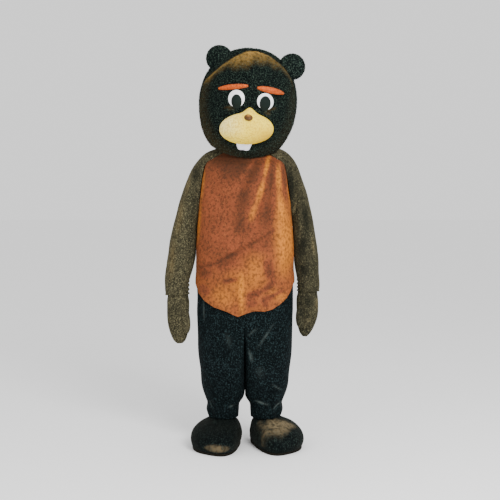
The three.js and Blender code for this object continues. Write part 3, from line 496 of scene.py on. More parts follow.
# Foot covers: level sections from the ankle down, in the foot's own frame: z, toe, heel, half width,
# how far the section sits to the outer side, its power, and the skew that draws the toe forward inside.
FOOT = [
    (172, 56, 50, 50, 0, 2, 0), (150, 58, 50, 51, 0, 2, 0), (130, 62, 52, 54, 0, 2, 0),
    (119, 72, 56, 56, 0, 2.1, 0), (108, 116, 70, 73, 8, 2.2, 0.15), (94, 172, 87, 91, 15, 2.4, 0.34),
    (74, 217, 98, 104, 20, 2.6, 0.42), (48, 238, 105, 110, 21, 2.7, 0.42), (24, 236, 104, 108, 21, 2.7, 0.42),
    (4, 224, 98, 98, 20, 2.7, 0.42),
]
FEET = {LEFT: {"x": -98, "y": 2, "toe_out": 8, "off": 1},
        RIGHT: {"x": 93.2, "y": 8, "toe_out": 17, "off": 1.55}}
# The upper's seam lies this far to the outer side of the foot's middle. The sole stands out this far.
FOOT_SEAM = 8
SOLE_RIM = 3
# The sole's rounded edge: heights, and how far its outline is drawn in there.
SOLE_EDGE = [(0, 1.6), (0.5, 0.6), (1.6, 0), (7.4, 0), (8.5, 0.6), (SOLE, 1.6)]

# The head, in its own frame about the middle of the egg.
HEAD = {"x": 13, "y": -10, "z": 1524, "wide": 219, "deep": 214, "up": 247, "down": 268, "power": 2.1,
        "lean": 6}
HEAD_HOLE = {"y": 28, "wide": 156, "deep": 116, "below": -160}
# The seam over the top of the head lies in a plane that leans back as it goes down.
TOP_SEAM = {"y": -45, "lean": 11.3}
# The crown's painted golden sheen starts below this line of the head's front view: points across and up.
CROWN_SHEEN_TOP = [(-205, 62), (-188, 84), (-122, 148), (-76, 186), (-28, 216), (20, 225), (80, 208), (160, 156),
            (200, 100)]
EARS = {LEFT: (-146, 180), RIGHT: (178, 177)}
EAR = {"radius": 58, "thick": 18, "y": -60}
# An ear has pile beyond this distance from the head's middle.
EAR_PILE_FROM = 215
FACE_COLUMNS = ("x", "z", "half_x", "half_z", "slant", "edge", "crown")
EYES = {LEFT: (-48, -2, 34.5, 37, 4, 3, 9), RIGHT: (75, -1, 34.5, 35.5, 2, 3, 9)}
PUPILS = {LEFT: (-45, -15, 21.5, 30, 4, 1.4, 2.6), RIGHT: (73, -10, 22.5, 31, 2, 1.4, 2.6)}
BROWS = {LEFT: (-67, 47, 63, 9.5, 10, 4, 9), RIGHT: (93, 50, 57, 11.5, -4, 4, 9)}
MUZZLE = {"x": 7, "z": -122, "half_x": 114, "half_z": 64, "slant": 6, "edge": 6, "crown": 50, "peak_x": 15,
          "peak_wide": 24, "peak": 0.36}
NOSE = (9.5, -71, 15.5, 11, 0, 3, 7)
TEETH = {"x": 3, "z": -191, "half_x": 30, "half_z": 19.5, "thick": 11, "narrow": 0.24, "power": 5}
# Pads start this far under the head's surface. The meshes of pads are rings by points around.
ROOT = -10
EYE_MESH, PUPIL_MESH, BROW_MESH = (14, 72), (10, 64), (10, 72)
MUZZLE_MESH, NOSE_MESH, TOOTH_MESH = (26, 128), (10, 48), (12, 96)


def body_points(side, places, turns, lift=None):
    """Points of the half body: `turns` is 0 at the centre back, 1 at the centre front, then 1 to 2 inside."""
    s = {name: values[:, None] for name, values in zip(BODY_COLUMNS, between(BODY, places).T)}
    turns = turns[None, :]
    inner = turns > 1
    angle = np.where(inner, 1.5 - turns, turns - 0.5) * PI
    depth = np.where(angle > 0, s["front"], s["back"])
    mid = np.maximum(s["mid"] + LEG_SHIFT[side] * smooth((300 - s["z"]) / 100), HALF_SEAM)
    inside = np.clip(s["in"], 0, mid - HALF_SEAM)
    cosine = np.maximum(np.cos(angle), 0)
    reach = np.where(inner, -inside * bent(cosine, s["in_power"]), s["out"] * bent(cosine, s["power"]))
    level = s["z"] - s["sink"] * smooth(0.5 + 0.5 * np.sin(angle))
    centre = np.stack(np.broadcast_arrays(side * mid, 0.0, level), -1)
    push = np.stack(np.broadcast_arrays(side * reach, -depth * bent(np.sin(angle), s["power"]), 0.0), -1)
    points = centre + push
    gather = HEM["high"] * np.sin(2 * PI * HEM["waves"] * turns) * smooth((HEM["from"] - s["z"]) / 60)
    touch = (LEGS_TOUCH["high"] * smooth((s["z"] - LEGS_TOUCH["to"]) / 20)
             * smooth((LEGS_TOUCH["from"] - s["z"]) / 20))
    rise = np.where(inner, touch, gather + (lift(points) if lift else 0))
    return points + rise[..., None] * unit(push)


def fold_scale():
    return bpy.context.scene.costume.fold_height


def body_lift(p):
    x, y, z = p[..., 0], p[..., 1], p[..., 2]
    front = along_strokes(LEG_FOLDS + LEG_CREASES, x, z) * smooth((-y - 8) / 40)
    back = along_strokes(BACK_FOLDS, x, z) * smooth((y - 50) / 40) * smooth((np.abs(x) - 24) / 30)
    soft = rumple(p, 1.0, 150) * smooth((np.abs(x) - 12) / 40)
    seams = side_seam_dip(y, z) + seam_dip(z - BACK_SEAM, 6, 1.8) * smooth((y - SIDE_SEAM_Y) / 20)
    return fold_scale() * (front + back) + soft + seams


def net_steps(length):
    return max(4, round(length / bpy.context.scene.costume.cloth_grid))


def body_net(side):
    outer, inner = steps(net_steps(660)), steps(net_steps(330))
    turns = np.concatenate([outer, inner[1:-1] + 1])
    net = body_points(side, steps(net_steps(1240)), turns, body_lift)
    return net if side == RIGHT else net[:, ::-1]


def fork_cutter():
    """Takes the flat inner walls of the halves out above the fork, so that they make one hollow body."""
    clear = CLOTH + 0.6
    levels = between(BODY, steps(60))
    levels = levels[levels[:, 0] > FORK["z"] + FORK["deep"]]
    neck, low = levels[0], levels[-1]
    front = [(clear - s[4], s[0] - s[8]) for s in levels]
    back = [(s[5] - clear, s[0]) for s in levels[::-1]]
    bowl = []
    for t in steps(12)[1:-1]:
        reach = 0.97 * np.cos(PI * t)
        depth = (low[4] if reach > 0 else low[5]) - clear
        bowl.append((-reach * depth, FORK["z"] + FORK["deep"] * (1 - np.sin(PI * t))))
    top = [(neck[5] - clear, neck[0] + 60), (clear - neck[4], neck[0] + 60)]
    return prism([*front, *bowl, *back, *top], -CLOTH - 6, CLOTH + 6, (1, 2, 0))


def tube_distance(points, path):
    """About how far points lie outside the tube of a sleeve."""
    path = np.asarray(path, float)
    best = np.full(points.shape[:-1], np.inf)
    for a, b in zip(path[:-1], path[1:]):
        run = b[:3] - a[:3]
        t = np.clip(((points - a[:3]) @ run) / (run @ run), 0, 1)
        gap = np.linalg.norm(points - a[:3] - t[..., None] * run, axis=-1)
        best = np.minimum(best, gap - (a[3] + a[4] + t * (b[3] + b[4] - a[3] - a[4])) / 2)
    return best


def edge_height(x):
    xs, zs = zip(*PANEL_EDGE)
    return np.interp(x, xs, zs)


def panel_lift(p):
    x, y, z = p[..., 0], p[..., 1], p[..., 2]
    lap = smooth((edge_height(x) + 75 - z) / 60) * (CLOTH + SEAM + PANEL_BAG)
    folds = along_strokes(PANEL_FOLDS + PANEL_CREASES, x, z)
    seams = side_seam_dip(y, z) + seam_dip(z - edge_height(x), 6, 1.6)
    for side in (LEFT, RIGHT):
        seams += armhole_dip(tube_distance(p, SLEEVES[side]), z)
    return smooth((-y - 2) / 50) * (fold_scale() * folds + lap) + seams + rumple(p, 1.0, 110)


def panel_net():
    """The front from beyond one side seam to beyond the other."""
    half = steps(net_steps(420)) * (1 + 2 * PANEL_BEHIND) * 0.5
    places = place_of(BODY, np.linspace(PANEL_TOP, PANEL_FOOT, net_steps(790)))
    right = body_points(RIGHT, places, 1 - half[::-1], panel_lift)
    left = body_points(LEFT, places, 1 - half[1:], panel_lift)
    right[:, -1, 0] = 0
    return np.concatenate([right, left], axis=1)


def around_edge(up, end):
    """The region of the front view above, or below, the panel's lower edge moved up by some amount."""
    outline = [(-FAR, PANEL_EDGE[0][1] + up), *((x, z + up) for x, z in PANEL_EDGE),
               (FAR, PANEL_EDGE[-1][1] + up), (FAR, end), (-FAR, end)]
    return prism(outline, -FAR, FAR, (0, 2, 1))


def placket_net():
    places = place_of(BODY, np.linspace(PLACKET["top"], PLACKET["bottom"], net_steps(590)))
    s = between(BODY, places)[:, :, None]
    x = np.linspace(-0.5, 0.5, 9)[None, :] * PLACKET["wide"]
    y = s[:, 5] * (1 - np.abs(x / s[:, 2]) ** s[:, 6]) ** (1 / s[:, 6])
    net = np.stack(np.broadcast_arrays(x, y + PLACKET["clear"] + CLOTH, s[:, 0]), -1).copy()
    net[..., 1] += 0.8 * np.sin(net[..., 2] / 31) + rumple(net, 0.5, 60)
    return net


def arm_net(path, rows, around, power, lift=None):
    t = steps(rows)
    s, before, after = between(path, t), between(path, t - 0.01), between(path, t + 0.01)
    down = unit(after[:, :3] - before[:, :3])
    across = unit(np.cross([0.0, 1.0, 0.0], down))
    deep = np.cross(down, across)
    angle = 2 * PI * steps(around)[1:]
    out = (across[:, None] * (s[:, 3, None] * bent(np.cos(angle), power))[..., None]
           + deep[:, None] * (s[:, 4, None] * bent(np.sin(angle), power))[..., None])
    points = s[:, None, :3] + out
    if lift:
        points = points + lift(points, angle[None, :], t[:, None])[..., None] * unit(out)
    return points


def beside_body(p):
    """About how far points lie outside the suit's body."""
    s = {name: values.reshape(p.shape[:-1]) for name, values in
         zip(BODY_COLUMNS, between(BODY, place_of(BODY, p[..., 2].ravel())).T)}
    depth = np.where(p[..., 1] < 0, s["front"], s["back"])
    share = (np.abs(p[..., 0] / s["out"]) ** s["power"]
             + np.abs(p[..., 1] / depth) ** s["power"]) ** (1 / s["power"])
    return (share - 1) * s["out"]


def sleeve_net(side):
    """Folds at the front, gathers up the inner side of the cuff, and the dip of the armhole seam."""
    def lift(p, angle, t):
        fold = along_strokes(SLEEVE_FOLDS + SLEEVE_CREASES, p[..., 0],
                             p[..., 2]) * smooth((-p[..., 1] - 8) / 30)
        behind = along_strokes([(-x0, z0 - 40, -x1, z1 - 40, wide, high)
                                for x0, z0, x1, z1, wide, high in SLEEVE_FOLDS], p[..., 0], p[..., 2])
        inner = np.maximum(0, side * np.cos(angle)) ** 2
        down = t - CUFF["from"]
        gather = CUFF["high"] * inner * smooth(down / 0.08) * np.sin(2 * PI * CUFF["waves"] * down / 0.2)
        hem = seam_dip(t - 0.965, 0.012, 1.6)
        seams = armhole_dip(beside_body(p), p[..., 2])
        return (fold_scale() * (fold + 0.7 * behind * smooth((p[..., 1] - 30) / 30)) + gather + hem + seams
                + rumple(p, 0.9, 90))
    return arm_net(SLEEVES[side], net_steps(690), net_steps(370), SLEEVE_POWER, lift)


def mitt_lift(p, angle, t):
    front = along_strokes(SLEEVE_CREASES, p[..., 0], p[..., 2]) * smooth((-p[..., 1] - 20) / 20)
    return fold_scale() * front + rumple(p, 0.8, 70) * smooth(t / 0.2) + seam_dip(np.sin(angle) * 50, 5, 1.4)


def foot_ring(s, side, around, more=0.0):
    """A level section of a foot cover, in the foot's own frame."""
    z, toe, heel, half, off, power, skew = (s[:, k, None] for k in range(7))
    angle = -2 * PI * steps(around)[1:][None, :]
    x = (half + more) * bent(np.cos(angle), power)
    y = (heel - toe) / 2 + ((toe + heel) / 2 + more) * bent(np.sin(angle), power)
    y = y + skew * side * x * np.maximum(0, -y) / toe
    return np.stack(np.broadcast_arrays(side * off * FEET[side]["off"] + x, y, z), -1)


def turned_about(points, degrees, axis):
    """Points turned about an axis (0, 1 or 2) through the origin."""
    a, b = [(1, 2), (2, 0), (0, 1)][axis]
    c, s = np.cos(radians(degrees)), np.sin(radians(degrees))
    out = np.array(points, float)
    first, second = points[..., a], points[..., b]
    out[..., a], out[..., b] = c * first - s * second, s * first + c * second
    return out


def place_foot(points, side):
    foot = FEET[side]
    return turned_about(points, side * foot["toe_out"], 2) + [foot["x"], foot["y"], 0]


def place_head(points):
    return turned_about(points, HEAD["lean"], 1) + [HEAD["x"], HEAD["y"], HEAD["z"]]


def into_head(points):
    return turned_about(points - [HEAD["x"], HEAD["y"], HEAD["z"]], -HEAD["lean"], 1)


def moved_mesh(mesh, place):
    mesh.vertices.foreach_set("co", place(read_points(mesh)).ravel())
    mesh.update()
    return mesh


def ring_at(z):
    tall = np.where(z > 0, HEAD["up"], HEAD["down"])
    return np.maximum(1 - np.abs(z / tall) ** HEAD["power"], 0) ** (1 / HEAD["power"])


def behind_seam(y, z):
    """How far points of the head lie behind the plane of the seam over its top."""
    lean = radians(TOP_SEAM["lean"])
    return (y - TOP_SEAM["y"]) * np.cos(lean) + z * np.sin(lean)


def past_top_seam(way):
    return moved_mesh(beyond(1, way * HALF_SEAM, way),
                      lambda points: turned_about(points, TOP_SEAM["lean"], 0) + [0, TOP_SEAM["y"], 0])


def on_head(points, out):
    """Points of the head's egg moved out, with its soft lumps and the dips of its seams."""
    x, y, z = points[..., 0], points[..., 1], points[..., 2]
    tall = np.where(z > 0, HEAD["up"], HEAD["down"])
    away = unit(np.stack([x / HEAD["wide"] ** 2, y / HEAD["deep"] ** 2, z / tall**2], -1))
    soft = rumple(points, 1.3, 130) + seam_dip(x, 6, 2.0) + seam_dip(behind_seam(y, z), 7, 3.0)
    return points + (np.asarray(out) + soft)[..., None] * away


def head_volume(out):
    rows, around = net_steps(760), net_steps(1330)
    z = np.cos(PI * steps(rows)[1:-1])
    z = (np.where(z > 0, HEAD["up"], HEAD["down"]) * z)[:, None]
    angle = (-2 * PI * steps(around)[1:])[None, :]
    ring = ring_at(z)
    net = np.stack(np.broadcast_arrays(HEAD["wide"] * ring * np.cos(angle),
                                       HEAD["deep"] * ring * np.sin(angle), z), -1)
    ends = np.array([[0, 0, HEAD["up"]], [0, 0, -HEAD["down"]]], float)
    points = on_head(np.concatenate([net.reshape(-1, 3), ends]), out)
    count = net.shape[0] * around
    faces = [grid_faces(0, net.shape[0], around, True, False), fan(np.arange(around), count, False),
             fan(np.arange(count - around, count), count + 1, True)]
    return mesh_of(points, np.concatenate(faces))


def head_front(x, z, out):
    """The point of the head's front under a point of the front view, moved out."""
    across = np.maximum(ring_at(z) ** 2 - (x / HEAD["wide"]) ** 2, 0)
    return on_head(np.stack([x, -HEAD["deep"] * np.sqrt(across), z], -1), out)


def pad(edge, top, bottom, rings, around):
    """A round pad on the face. `edge` gives the front-view point at an angle and a share of the radius."""
    shares = np.sin(PI / 2 * steps(rings)[1:])[:, None]
    angles = (2 * PI * steps(around)[1:])[None, :]
    x, z = edge(angles, shares)
    middle_x, middle_z = edge(np.zeros(1), np.zeros(1))
    layers = []
    for height in (top, bottom):
        ring_points = head_front(x, z, height(x, z, np.broadcast_to(shares, x.shape)))
        middle = head_front(middle_x, middle_z, height(middle_x, middle_z, np.zeros(1)))
        layers += [middle, ring_points.reshape(-1, 3)]
    half = 1 + rings * around
    c = np.arange(around)
    after = (c + 1) % around
    faces = []
    for first, flip in ((0, False), (half, True)):
        ring = first + 1 + c
        nexts = first + 1 + after
        centre = np.full(around, first)
        faces.append(np.stack([centre, nexts, ring] if flip else [centre, ring, nexts], 1))
        for r in range(rings - 1):
            a, b = ring + r * around, nexts + r * around
            if flip:
                faces += [np.stack([a, b + around, a + around], 1), np.stack([a, b, b + around], 1)]
            else:
                faces += [np.stack([a, a + around, b + around], 1), np.stack([a, b + around, b], 1)]
    a, b = half - around + c, half - around + after
    faces += [np.stack([a, half + a, half + b], 1), np.stack([a, half + b, b], 1)]
    return mesh_of(np.concatenate(layers), np.concatenate(faces))


def face_row(row):
    return dict(zip(FACE_COLUMNS, row))


def turned(f, u, v):
    a = radians(f.get("slant", 0))
    return f["x"] + u * np.cos(a) - v * np.sin(a), f["z"] + u * np.sin(a) + v * np.cos(a)


def unturned(f, x, z):
    a = radians(f.get("slant", 0))
    across, up = x - f["x"], z - f["z"]
    return across * np.cos(a) + up * np.sin(a), up * np.cos(a) - across * np.sin(a)


def oval(f, more=0.0):
    def edge(angle, share):
        return turned(f, share * (f["half_x"] + more) * np.cos(angle),
                      share * (f["half_z"] + more) * np.sin(angle))
    return edge


def domed(f, more=0.0):
    return lambda x, z, r: f["edge"] + more + f["crown"] * (1 - r * r)


def root(x, z, r):
    """Pads start under the head's surface, and the head's own volume then trims them."""
    return np.full(np.shape(x), float(ROOT))


def peak_stretch(u):
    return 1 + MUZZLE["peak"] * np.exp(-(((u - MUZZLE["peak_x"]) / MUZZLE["peak_wide"]) ** 2))


def muzzle_edge(more):
    def edge(angle, share):
        u = share * (MUZZLE["half_x"] + more) * np.cos(angle)
        v = share * (MUZZLE["half_z"] + more) * np.sin(angle)
        return turned(MUZZLE, u, np.where(v > 0, v * peak_stretch(u), v))
    return edge


MUZZLE_CREASES = [(7, -98, 5, -160, 5, -1.6), (6, -158, 26, -176, 6, -1.8), (6, -158, -22, -178, 6, -1.4),
                  (-60, -104, -20, -88, 14, 0.8), (50, -150, 92, -120, 12, 0.8)]


def muzzle_height(more):
    def height(x, z, r):
        crease = along_strokes(MUZZLE_CREASES, x, z) if np.ndim(x) else 0
        return MUZZLE["edge"] + more + MUZZLE["crown"] * np.maximum(1 - r * r, 0) ** 0.7 + crease * (1 - r**4)
    return height


def muzzle_under(x, z):
    """The height of the muzzle under points of the front view."""
    u, v = unturned(MUZZLE, x, z)
    share = np.hypot(u / MUZZLE["half_x"], v / MUZZLE["half_z"] / np.where(v > 0, peak_stretch(u), 1))
    return muzzle_height(0)(x, z, np.minimum(share, 1))


def linear(code):
    """An sRGB hex colour as Blender's linear values."""
    parts = [int(code[i:i + 2], 16) / 255 for i in (1, 3, 5)]
    return tuple(part / 12.92 if part <= 0.04045 else ((part + 0.055) / 1.055) ** 2.4 for part in parts)


def add_node(tree, kind, inputs=None, **settings):
    """Adds a node with its settings. An input that is given a socket is linked, and others are set."""
    made = tree.nodes.new(kind)
    for name, value in settings.items():
        setattr(made, name, value)
    for name, value in (inputs or {}).items():
        if isinstance(value, bpy.types.NodeSocket):
            tree.links.new(value, made.inputs[name])
        else:
            made.inputs[name].default_value = value
    return made


# Tufts under a pixel wide don't show at all, so flecks are drawn this many times as coarse as the pile.
FLECK_COARSER = 2.3
# A tuft leans this share its own way, and these are its half width and its buried root.
TUFT = {"tangle": 0.22, "thick": 0.13, "root": 0.6}
# The colour inputs of a Mix node set to colours.
MIX_A, MIX_B, MIX_OUT = 6, 7, 2


def napped_cloth(name, colour, lit, deep, fleck, fleck_share, pile, nap_stretch, rough, sheen, sheen_tint,
                 mottle=0.35, relief=0.6):
    """Cloth with a pile. `lit` is its colour of painted highlights, `deep` that of painted shade and of its
    darker patches and clumps, `fleck` that of single tufts that shine, `pile` the width of a tuft in mm."""
    material = bpy.data.materials.new(name)
    material.use_nodes = True
    tree = material.node_tree
    tree.nodes.clear()
    place = add_node(tree, "ShaderNodeTexCoord").outputs["Object"]
    along = add_node(tree, "ShaderNodeMapping",
                     {"Vector": place, "Scale": (1, 1, nap_stretch)}).outputs["Vector"]
    tufts = add_node(tree, "ShaderNodeTexNoise",
                     {"Vector": along, "Scale": 1000 / (FLECK_COARSER * pile), "Detail": 2.0,
                      "Roughness": 0.7})
    clumps = add_node(tree, "ShaderNodeTexNoise",
                      {"Vector": along, "Scale": 1000 / (2.6 * FLECK_COARSER * pile), "Detail": 2.0})
    patches = add_node(tree, "ShaderNodeTexNoise", {"Vector": place, "Scale": 14.0, "Detail": 4.0})
    # The `lit` and `deep` attributes hold shares of painted highlights and painted shade.
    highlight_share = add_node(tree, "ShaderNodeAttribute", attribute_name="lit").outputs["Fac"]
    dark = add_node(tree, "ShaderNodeAttribute", attribute_name="deep").outputs["Fac"]

    def mix(factor, a, b, blend="MIX"):
        made = add_node(tree, "ShaderNodeMix", {0: factor, MIX_A: a, MIX_B: b}, data_type="RGBA",
                        blend_type=blend)
        return made.outputs[MIX_OUT]

    def spread(source, low, high, to_low, to_high):
        return add_node(tree, "ShaderNodeMapRange", {
            "Value": source, "From Min": low, "From Max": high, "To Min": to_low, "To Max": to_high},
        ).outputs["Result"]

    patchy = spread(patches.outputs["Fac"], 0.35, 0.65, 0.0, mottle)
    base = mix(patchy, (*colour, 1), (*deep, 1))
    # The lit colour is mixed in here as painted highlights, and the deep colour at the end as painted shade.
    brushed = mix(highlight_share, base, (*lit, 1))
    clumped = mix(spread(clumps.outputs["Fac"], 0.36, 0.56, 0.6, 0.0), brushed, (*deep, 1))
    shine = spread(tufts.outputs["Fac"], 0.52, 0.66, 0.0, fleck_share)
    flecked = mix(shine, clumped, (*fleck, 1))
    final = mix(dark, flecked, (*deep, 1))
    bump = add_node(tree, "ShaderNodeBump", {
        "Height": tufts.outputs["Fac"], "Distance": 0.001 * pile * relief, "Strength": 0.9})
    shader = add_node(tree, "ShaderNodeBsdfPrincipled", {
        "Base Color": final, "Roughness": rough, "Sheen Weight": sheen, "Sheen Roughness": 0.45,
        "Sheen Tint": (*sheen_tint, 1), "Specular IOR Level": 0.05, "Normal": bump.outputs["Normal"]})
    add_node(tree, "ShaderNodeOutputMaterial", {"Surface": shader.outputs["BSDF"]})
    return material


def moulded_vinyl(name, colour, second, rough, coat, size, specular=0.5):
    """Moulded vinyl: smooth, with a faint cast texture and a soft drift of colour, and painted light toward
    its second colour where its `lit` attribute is set.
    """
    material = bpy.data.materials.new(name)
    material.use_nodes = True
    tree = material.node_tree
    tree.nodes.clear()
    place = add_node(tree, "ShaderNodeTexCoord").outputs["Object"]
    drift = add_node(tree, "ShaderNodeTexNoise", {"Vector": place, "Scale": 1000 / size, "Detail": 2.0})
    grain = add_node(tree, "ShaderNodeTexNoise", {"Vector": place, "Scale": 900.0, "Detail": 2.0})
    lit = add_node(tree, "ShaderNodeAttribute", attribute_name="lit").outputs["Fac"]
    share = add_node(tree, "ShaderNodeMath", {0: drift.outputs["Fac"], 1: 0.4}, operation="MULTIPLY")
    total = add_node(tree, "ShaderNodeMath", {0: share.outputs["Value"], 1: lit}, operation="ADD",
                     use_clamp=True)
    tone = add_node(tree, "ShaderNodeMix",
                    {0: total.outputs["Value"], MIX_A: (*colour, 1), MIX_B: (*second, 1)},
                    data_type="RGBA")
    bump = add_node(tree, "ShaderNodeBump",
                    {"Height": grain.outputs["Fac"], "Distance": 0.0002, "Strength": 0.3})
    shader = add_node(tree, "ShaderNodeBsdfPrincipled", {
        "Base Color": tone.outputs[MIX_OUT], "Roughness": rough, "Coat Weight": coat, "Coat Roughness": 0.12,
        "IOR": 1.5, "Specular IOR Level": specular, "Normal": bump.outputs["Normal"]})
    add_node(tree, "ShaderNodeOutputMaterial", {"Surface": shader.outputs["BSDF"]})
    return material


def cloth_of(kind):
    """The material of a kind of cloth, made once."""
    found = bpy.data.materials.get(kind)
    if found:
        return found
    colours = bpy.context.scene.costume_colours
    if kind == "head_long_pile_plush":
        # Knitted acrylic plush with an 8 mm pile: near black, with single shining tufts, a painted golden
        # sheen where the pile stands against the light at the crown, and painted shade behind the top seam.
        return napped_cloth(kind, colours.dark, linear("#c2994e"), linear("#040708"), linear("#6a8272"), 0.48,
                            2.2, 0.8, 0.85, 0.12, linear("#5b6a5e"), relief=0.9)
    if kind == "trouser_plush":
        # The same plush with a 4 mm pile, brushed down: near black with dark teal flecks, with painted
        # highlights and painted shade on its folds.
        return napped_cloth(kind, colours.trousers, linear("#6a7672"), linear("#010304"), linear("#2d3e40"),
                            0.5,
                            2.4, 0.8, 0.88, 0.05, linear("#58686c"), relief=0.8)
    if kind == "sleeve_short_plush":
        # Short plush, olive brown, with painted shade at the armholes and painted golden highlights on its
        # folds.
        return napped_cloth(kind, colours.sleeves, linear("#7d6a44"), linear("#0a0e0b"), linear("#7c7657"),
                            0.55,
                            2.0, 0.75, 0.88, 0.25, linear("#837a5c"), relief=0.7)
    if kind == "rust_knitted_velour":
        # Knitted velour with a 1.5 mm nap: rust, with painted orange highlights on its ridges, and painted
        # brown shade in its troughs and under the chin.
        return napped_cloth(kind, colours.rust, linear("#c87a24"), linear("#2e2118"), linear("#b0693c"), 0.24,
                            1.8, 0.85, 0.8, 0.2, linear("#d98a4a"), mottle=0.3, relief=0.5)
    if kind == "brow_fuzzy_plush":
        # Fuzzy orange-red plush, stuffed.
        return napped_cloth(kind, colours.brows, linear("#f09040"), linear("#98391c"), linear("#f59a5c"), 0.5,
                            1.6, 0.8, 0.85, 0.25, linear("#f0a080"), mottle=0.3, relief=0.9)
    if kind == "cream_velour":
        # Cream velour stretched over a foam muzzle, so its nap lies almost flat.
        return napped_cloth(kind, colours.cream, linear("#fae89c"), linear("#c1961a"), linear("#f8efb8"),
                            0.15,
                            1.2, 0.9, 0.8, 0.05, linear("#fff0c0"), mottle=0.15, relief=0.25)
    if kind == "foot_plush":
        # Plush foot covers: near black, with painted tan light on top, a painted highlight on the left toe,
        # and painted shade on the sides and in the creases.
        return napped_cloth(kind, colours.trousers, linear("#7c6c50"), linear("#020404"), linear("#3c4a44"),
                            0.4,
                            2.4, 0.7, 0.88, 0.08, linear("#6c6a58"), relief=0.8)
    if kind == "sole_canvas":
        # Plain dark canvas soles.
        return napped_cloth(kind, linear("#1b1813"), linear("#3c362a"), linear("#0a0907"), linear("#3a362c"),
                            0.3,
                            1.0, 1.0, 0.9, 0.1, linear("#6c6a58"), relief=0.4)
    if kind == "eye_white_vinyl":
        # Moulded white vinyl with a satin surface.
        return moulded_vinyl(kind, linear("#e4e7ea"), linear("#f6f4ee"), 0.4, 0.2, 60)
    if kind == "pupil_black_vinyl":
        # Moulded vinyl with a matt surface, a very dark green.
        return moulded_vinyl(kind, linear("#0b1210"), linear("#22312a"), 0.8, 0.0, 40, 0.12)
    if kind == "nose_brown_vinyl":
        # Moulded gloss vinyl, dark brown with a painted tan highlight in the middle.
        return moulded_vinyl(kind, linear("#1c0d04"), linear("#94662c"), 0.5, 0.05, 90, 0.2)
    if kind == "tooth_white_vinyl":
        # Moulded vinyl, a cool white.
        return moulded_vinyl(kind, linear("#dddbe4"), linear("#f2f1f5"), 0.5, 0.1, 50)
    raise RuntimeError(f"there is no cloth named {kind}")


# `lit` and `deep` are shares of painted light and painted shade, kept on the mesh's points.
def set_tones(mesh, lit, deep):
    for name, values in (("lit", lit), ("deep", deep)):
        layer = mesh.attributes.get(name) or mesh.attributes.new(name, "FLOAT", "POINT")
        layer.data.foreach_set("value", np.clip(values, 0, 1).astype(np.float32))


def from_strokes(total):
    return np.clip(total, 0, 1), np.clip(-total, 0, 1)


def put(name, mesh, kind, node, tones=None, sharp=40.0):
    """Puts a piece in the frame in place of its CAD node, and gives it its cloth."""
    points = read_points(mesh)
    lit, deep = tones(points) if tones else (np.zeros(len(points)), np.zeros(len(points)))
    mesh.vertices.foreach_set("co", ((points - [0, 0, NECK_HEIGHT]) / 1000).ravel())
    set_tones(mesh, lit, deep)
    mesh.materials.clear()
    mesh.materials.append(cloth_of(kind))
    mesh.name = name
    mesh.shade_smooth()
    mesh.set_sharp_from_angle(angle=radians(sharp))
    mesh.update()
    made = bpy.data.objects.new(name, mesh)
    bpy.context.collection.objects.link(made)
    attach(made, "root")
    if node:
        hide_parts(node)
    return made


def grow_pile(piece, name, kind, count, length, stand, seed, outward, keep, nap, tones):
    """Tufts of pile on a piece, as thin closed spikes. `outward` gives the way out at a point, `keep` the
    points that have pile and `nap` the way it is brushed. Sizes are in mm."""
    mesh = piece.data
    mesh.calc_loop_triangles()
    corners = np.empty(len(mesh.loop_triangles) * 3, int)
    mesh.loop_triangles.foreach_get("vertices", corners)
    points = read_points(mesh) * 1000 + [0, 0, NECK_HEIGHT]
    a, b, c = (points[corners.reshape(-1, 3)[:, k]] for k in range(3))
    cross = np.cross(b - a, c - a)
    normals, areas = unit(cross), np.linalg.norm(cross, axis=1) / 2
    middles = (a + b + c) / 3
    good = ((normals * unit(outward(middles))).sum(1) > 0.35) & keep(middles)
    areas = np.where(good, areas, 0)
    rng = np.random.default_rng(seed)
    chosen = rng.choice(len(areas), size=count, p=areas / areas.sum())
    u, v = rng.random(count), rng.random(count)
    over = u + v > 1
    u[over], v[over] = 1 - u[over], 1 - v[over]
    base = a[chosen] + u[:, None] * (b - a)[chosen] + v[:, None] * (c - a)[chosen]
    normal = normals[chosen]
    brushed = nap(base)
    brushed = unit(brushed - (brushed * normal).sum(1)[:, None] * normal)
    tangled = rng.normal(size=(count, 3))
    way = unit(stand * normal + (1 - stand) * brushed + TUFT["tangle"] * tangled)
    tall = length * (0.65 + 0.5 * rng.random(count))[:, None]
    side = unit(np.cross(way, tangled))
    other = np.cross(way, side)
    thick = (length * TUFT["thick"]) * (0.8 + 0.4 * rng.random(count))[:, None]
    verts = np.empty((count, 4, 3))
    for k in range(3):
        turn = 2 * PI * k / 3
        verts[:, k] = base - TUFT["root"] * normal + thick * (np.cos(turn) * side + np.sin(turn) * other)
    verts[:, 3] = base + tall * way
    first = np.arange(count)[:, None] * 4
    faces = np.concatenate([first + np.array(order)
                            for order in ((0, 1, 3), (1, 2, 3), (2, 0, 3), (0, 2, 1))])
    tufts = mesh_of(verts.reshape(-1, 3), faces)
    return put(name, tufts, kind, None, tones, sharp=180.0)


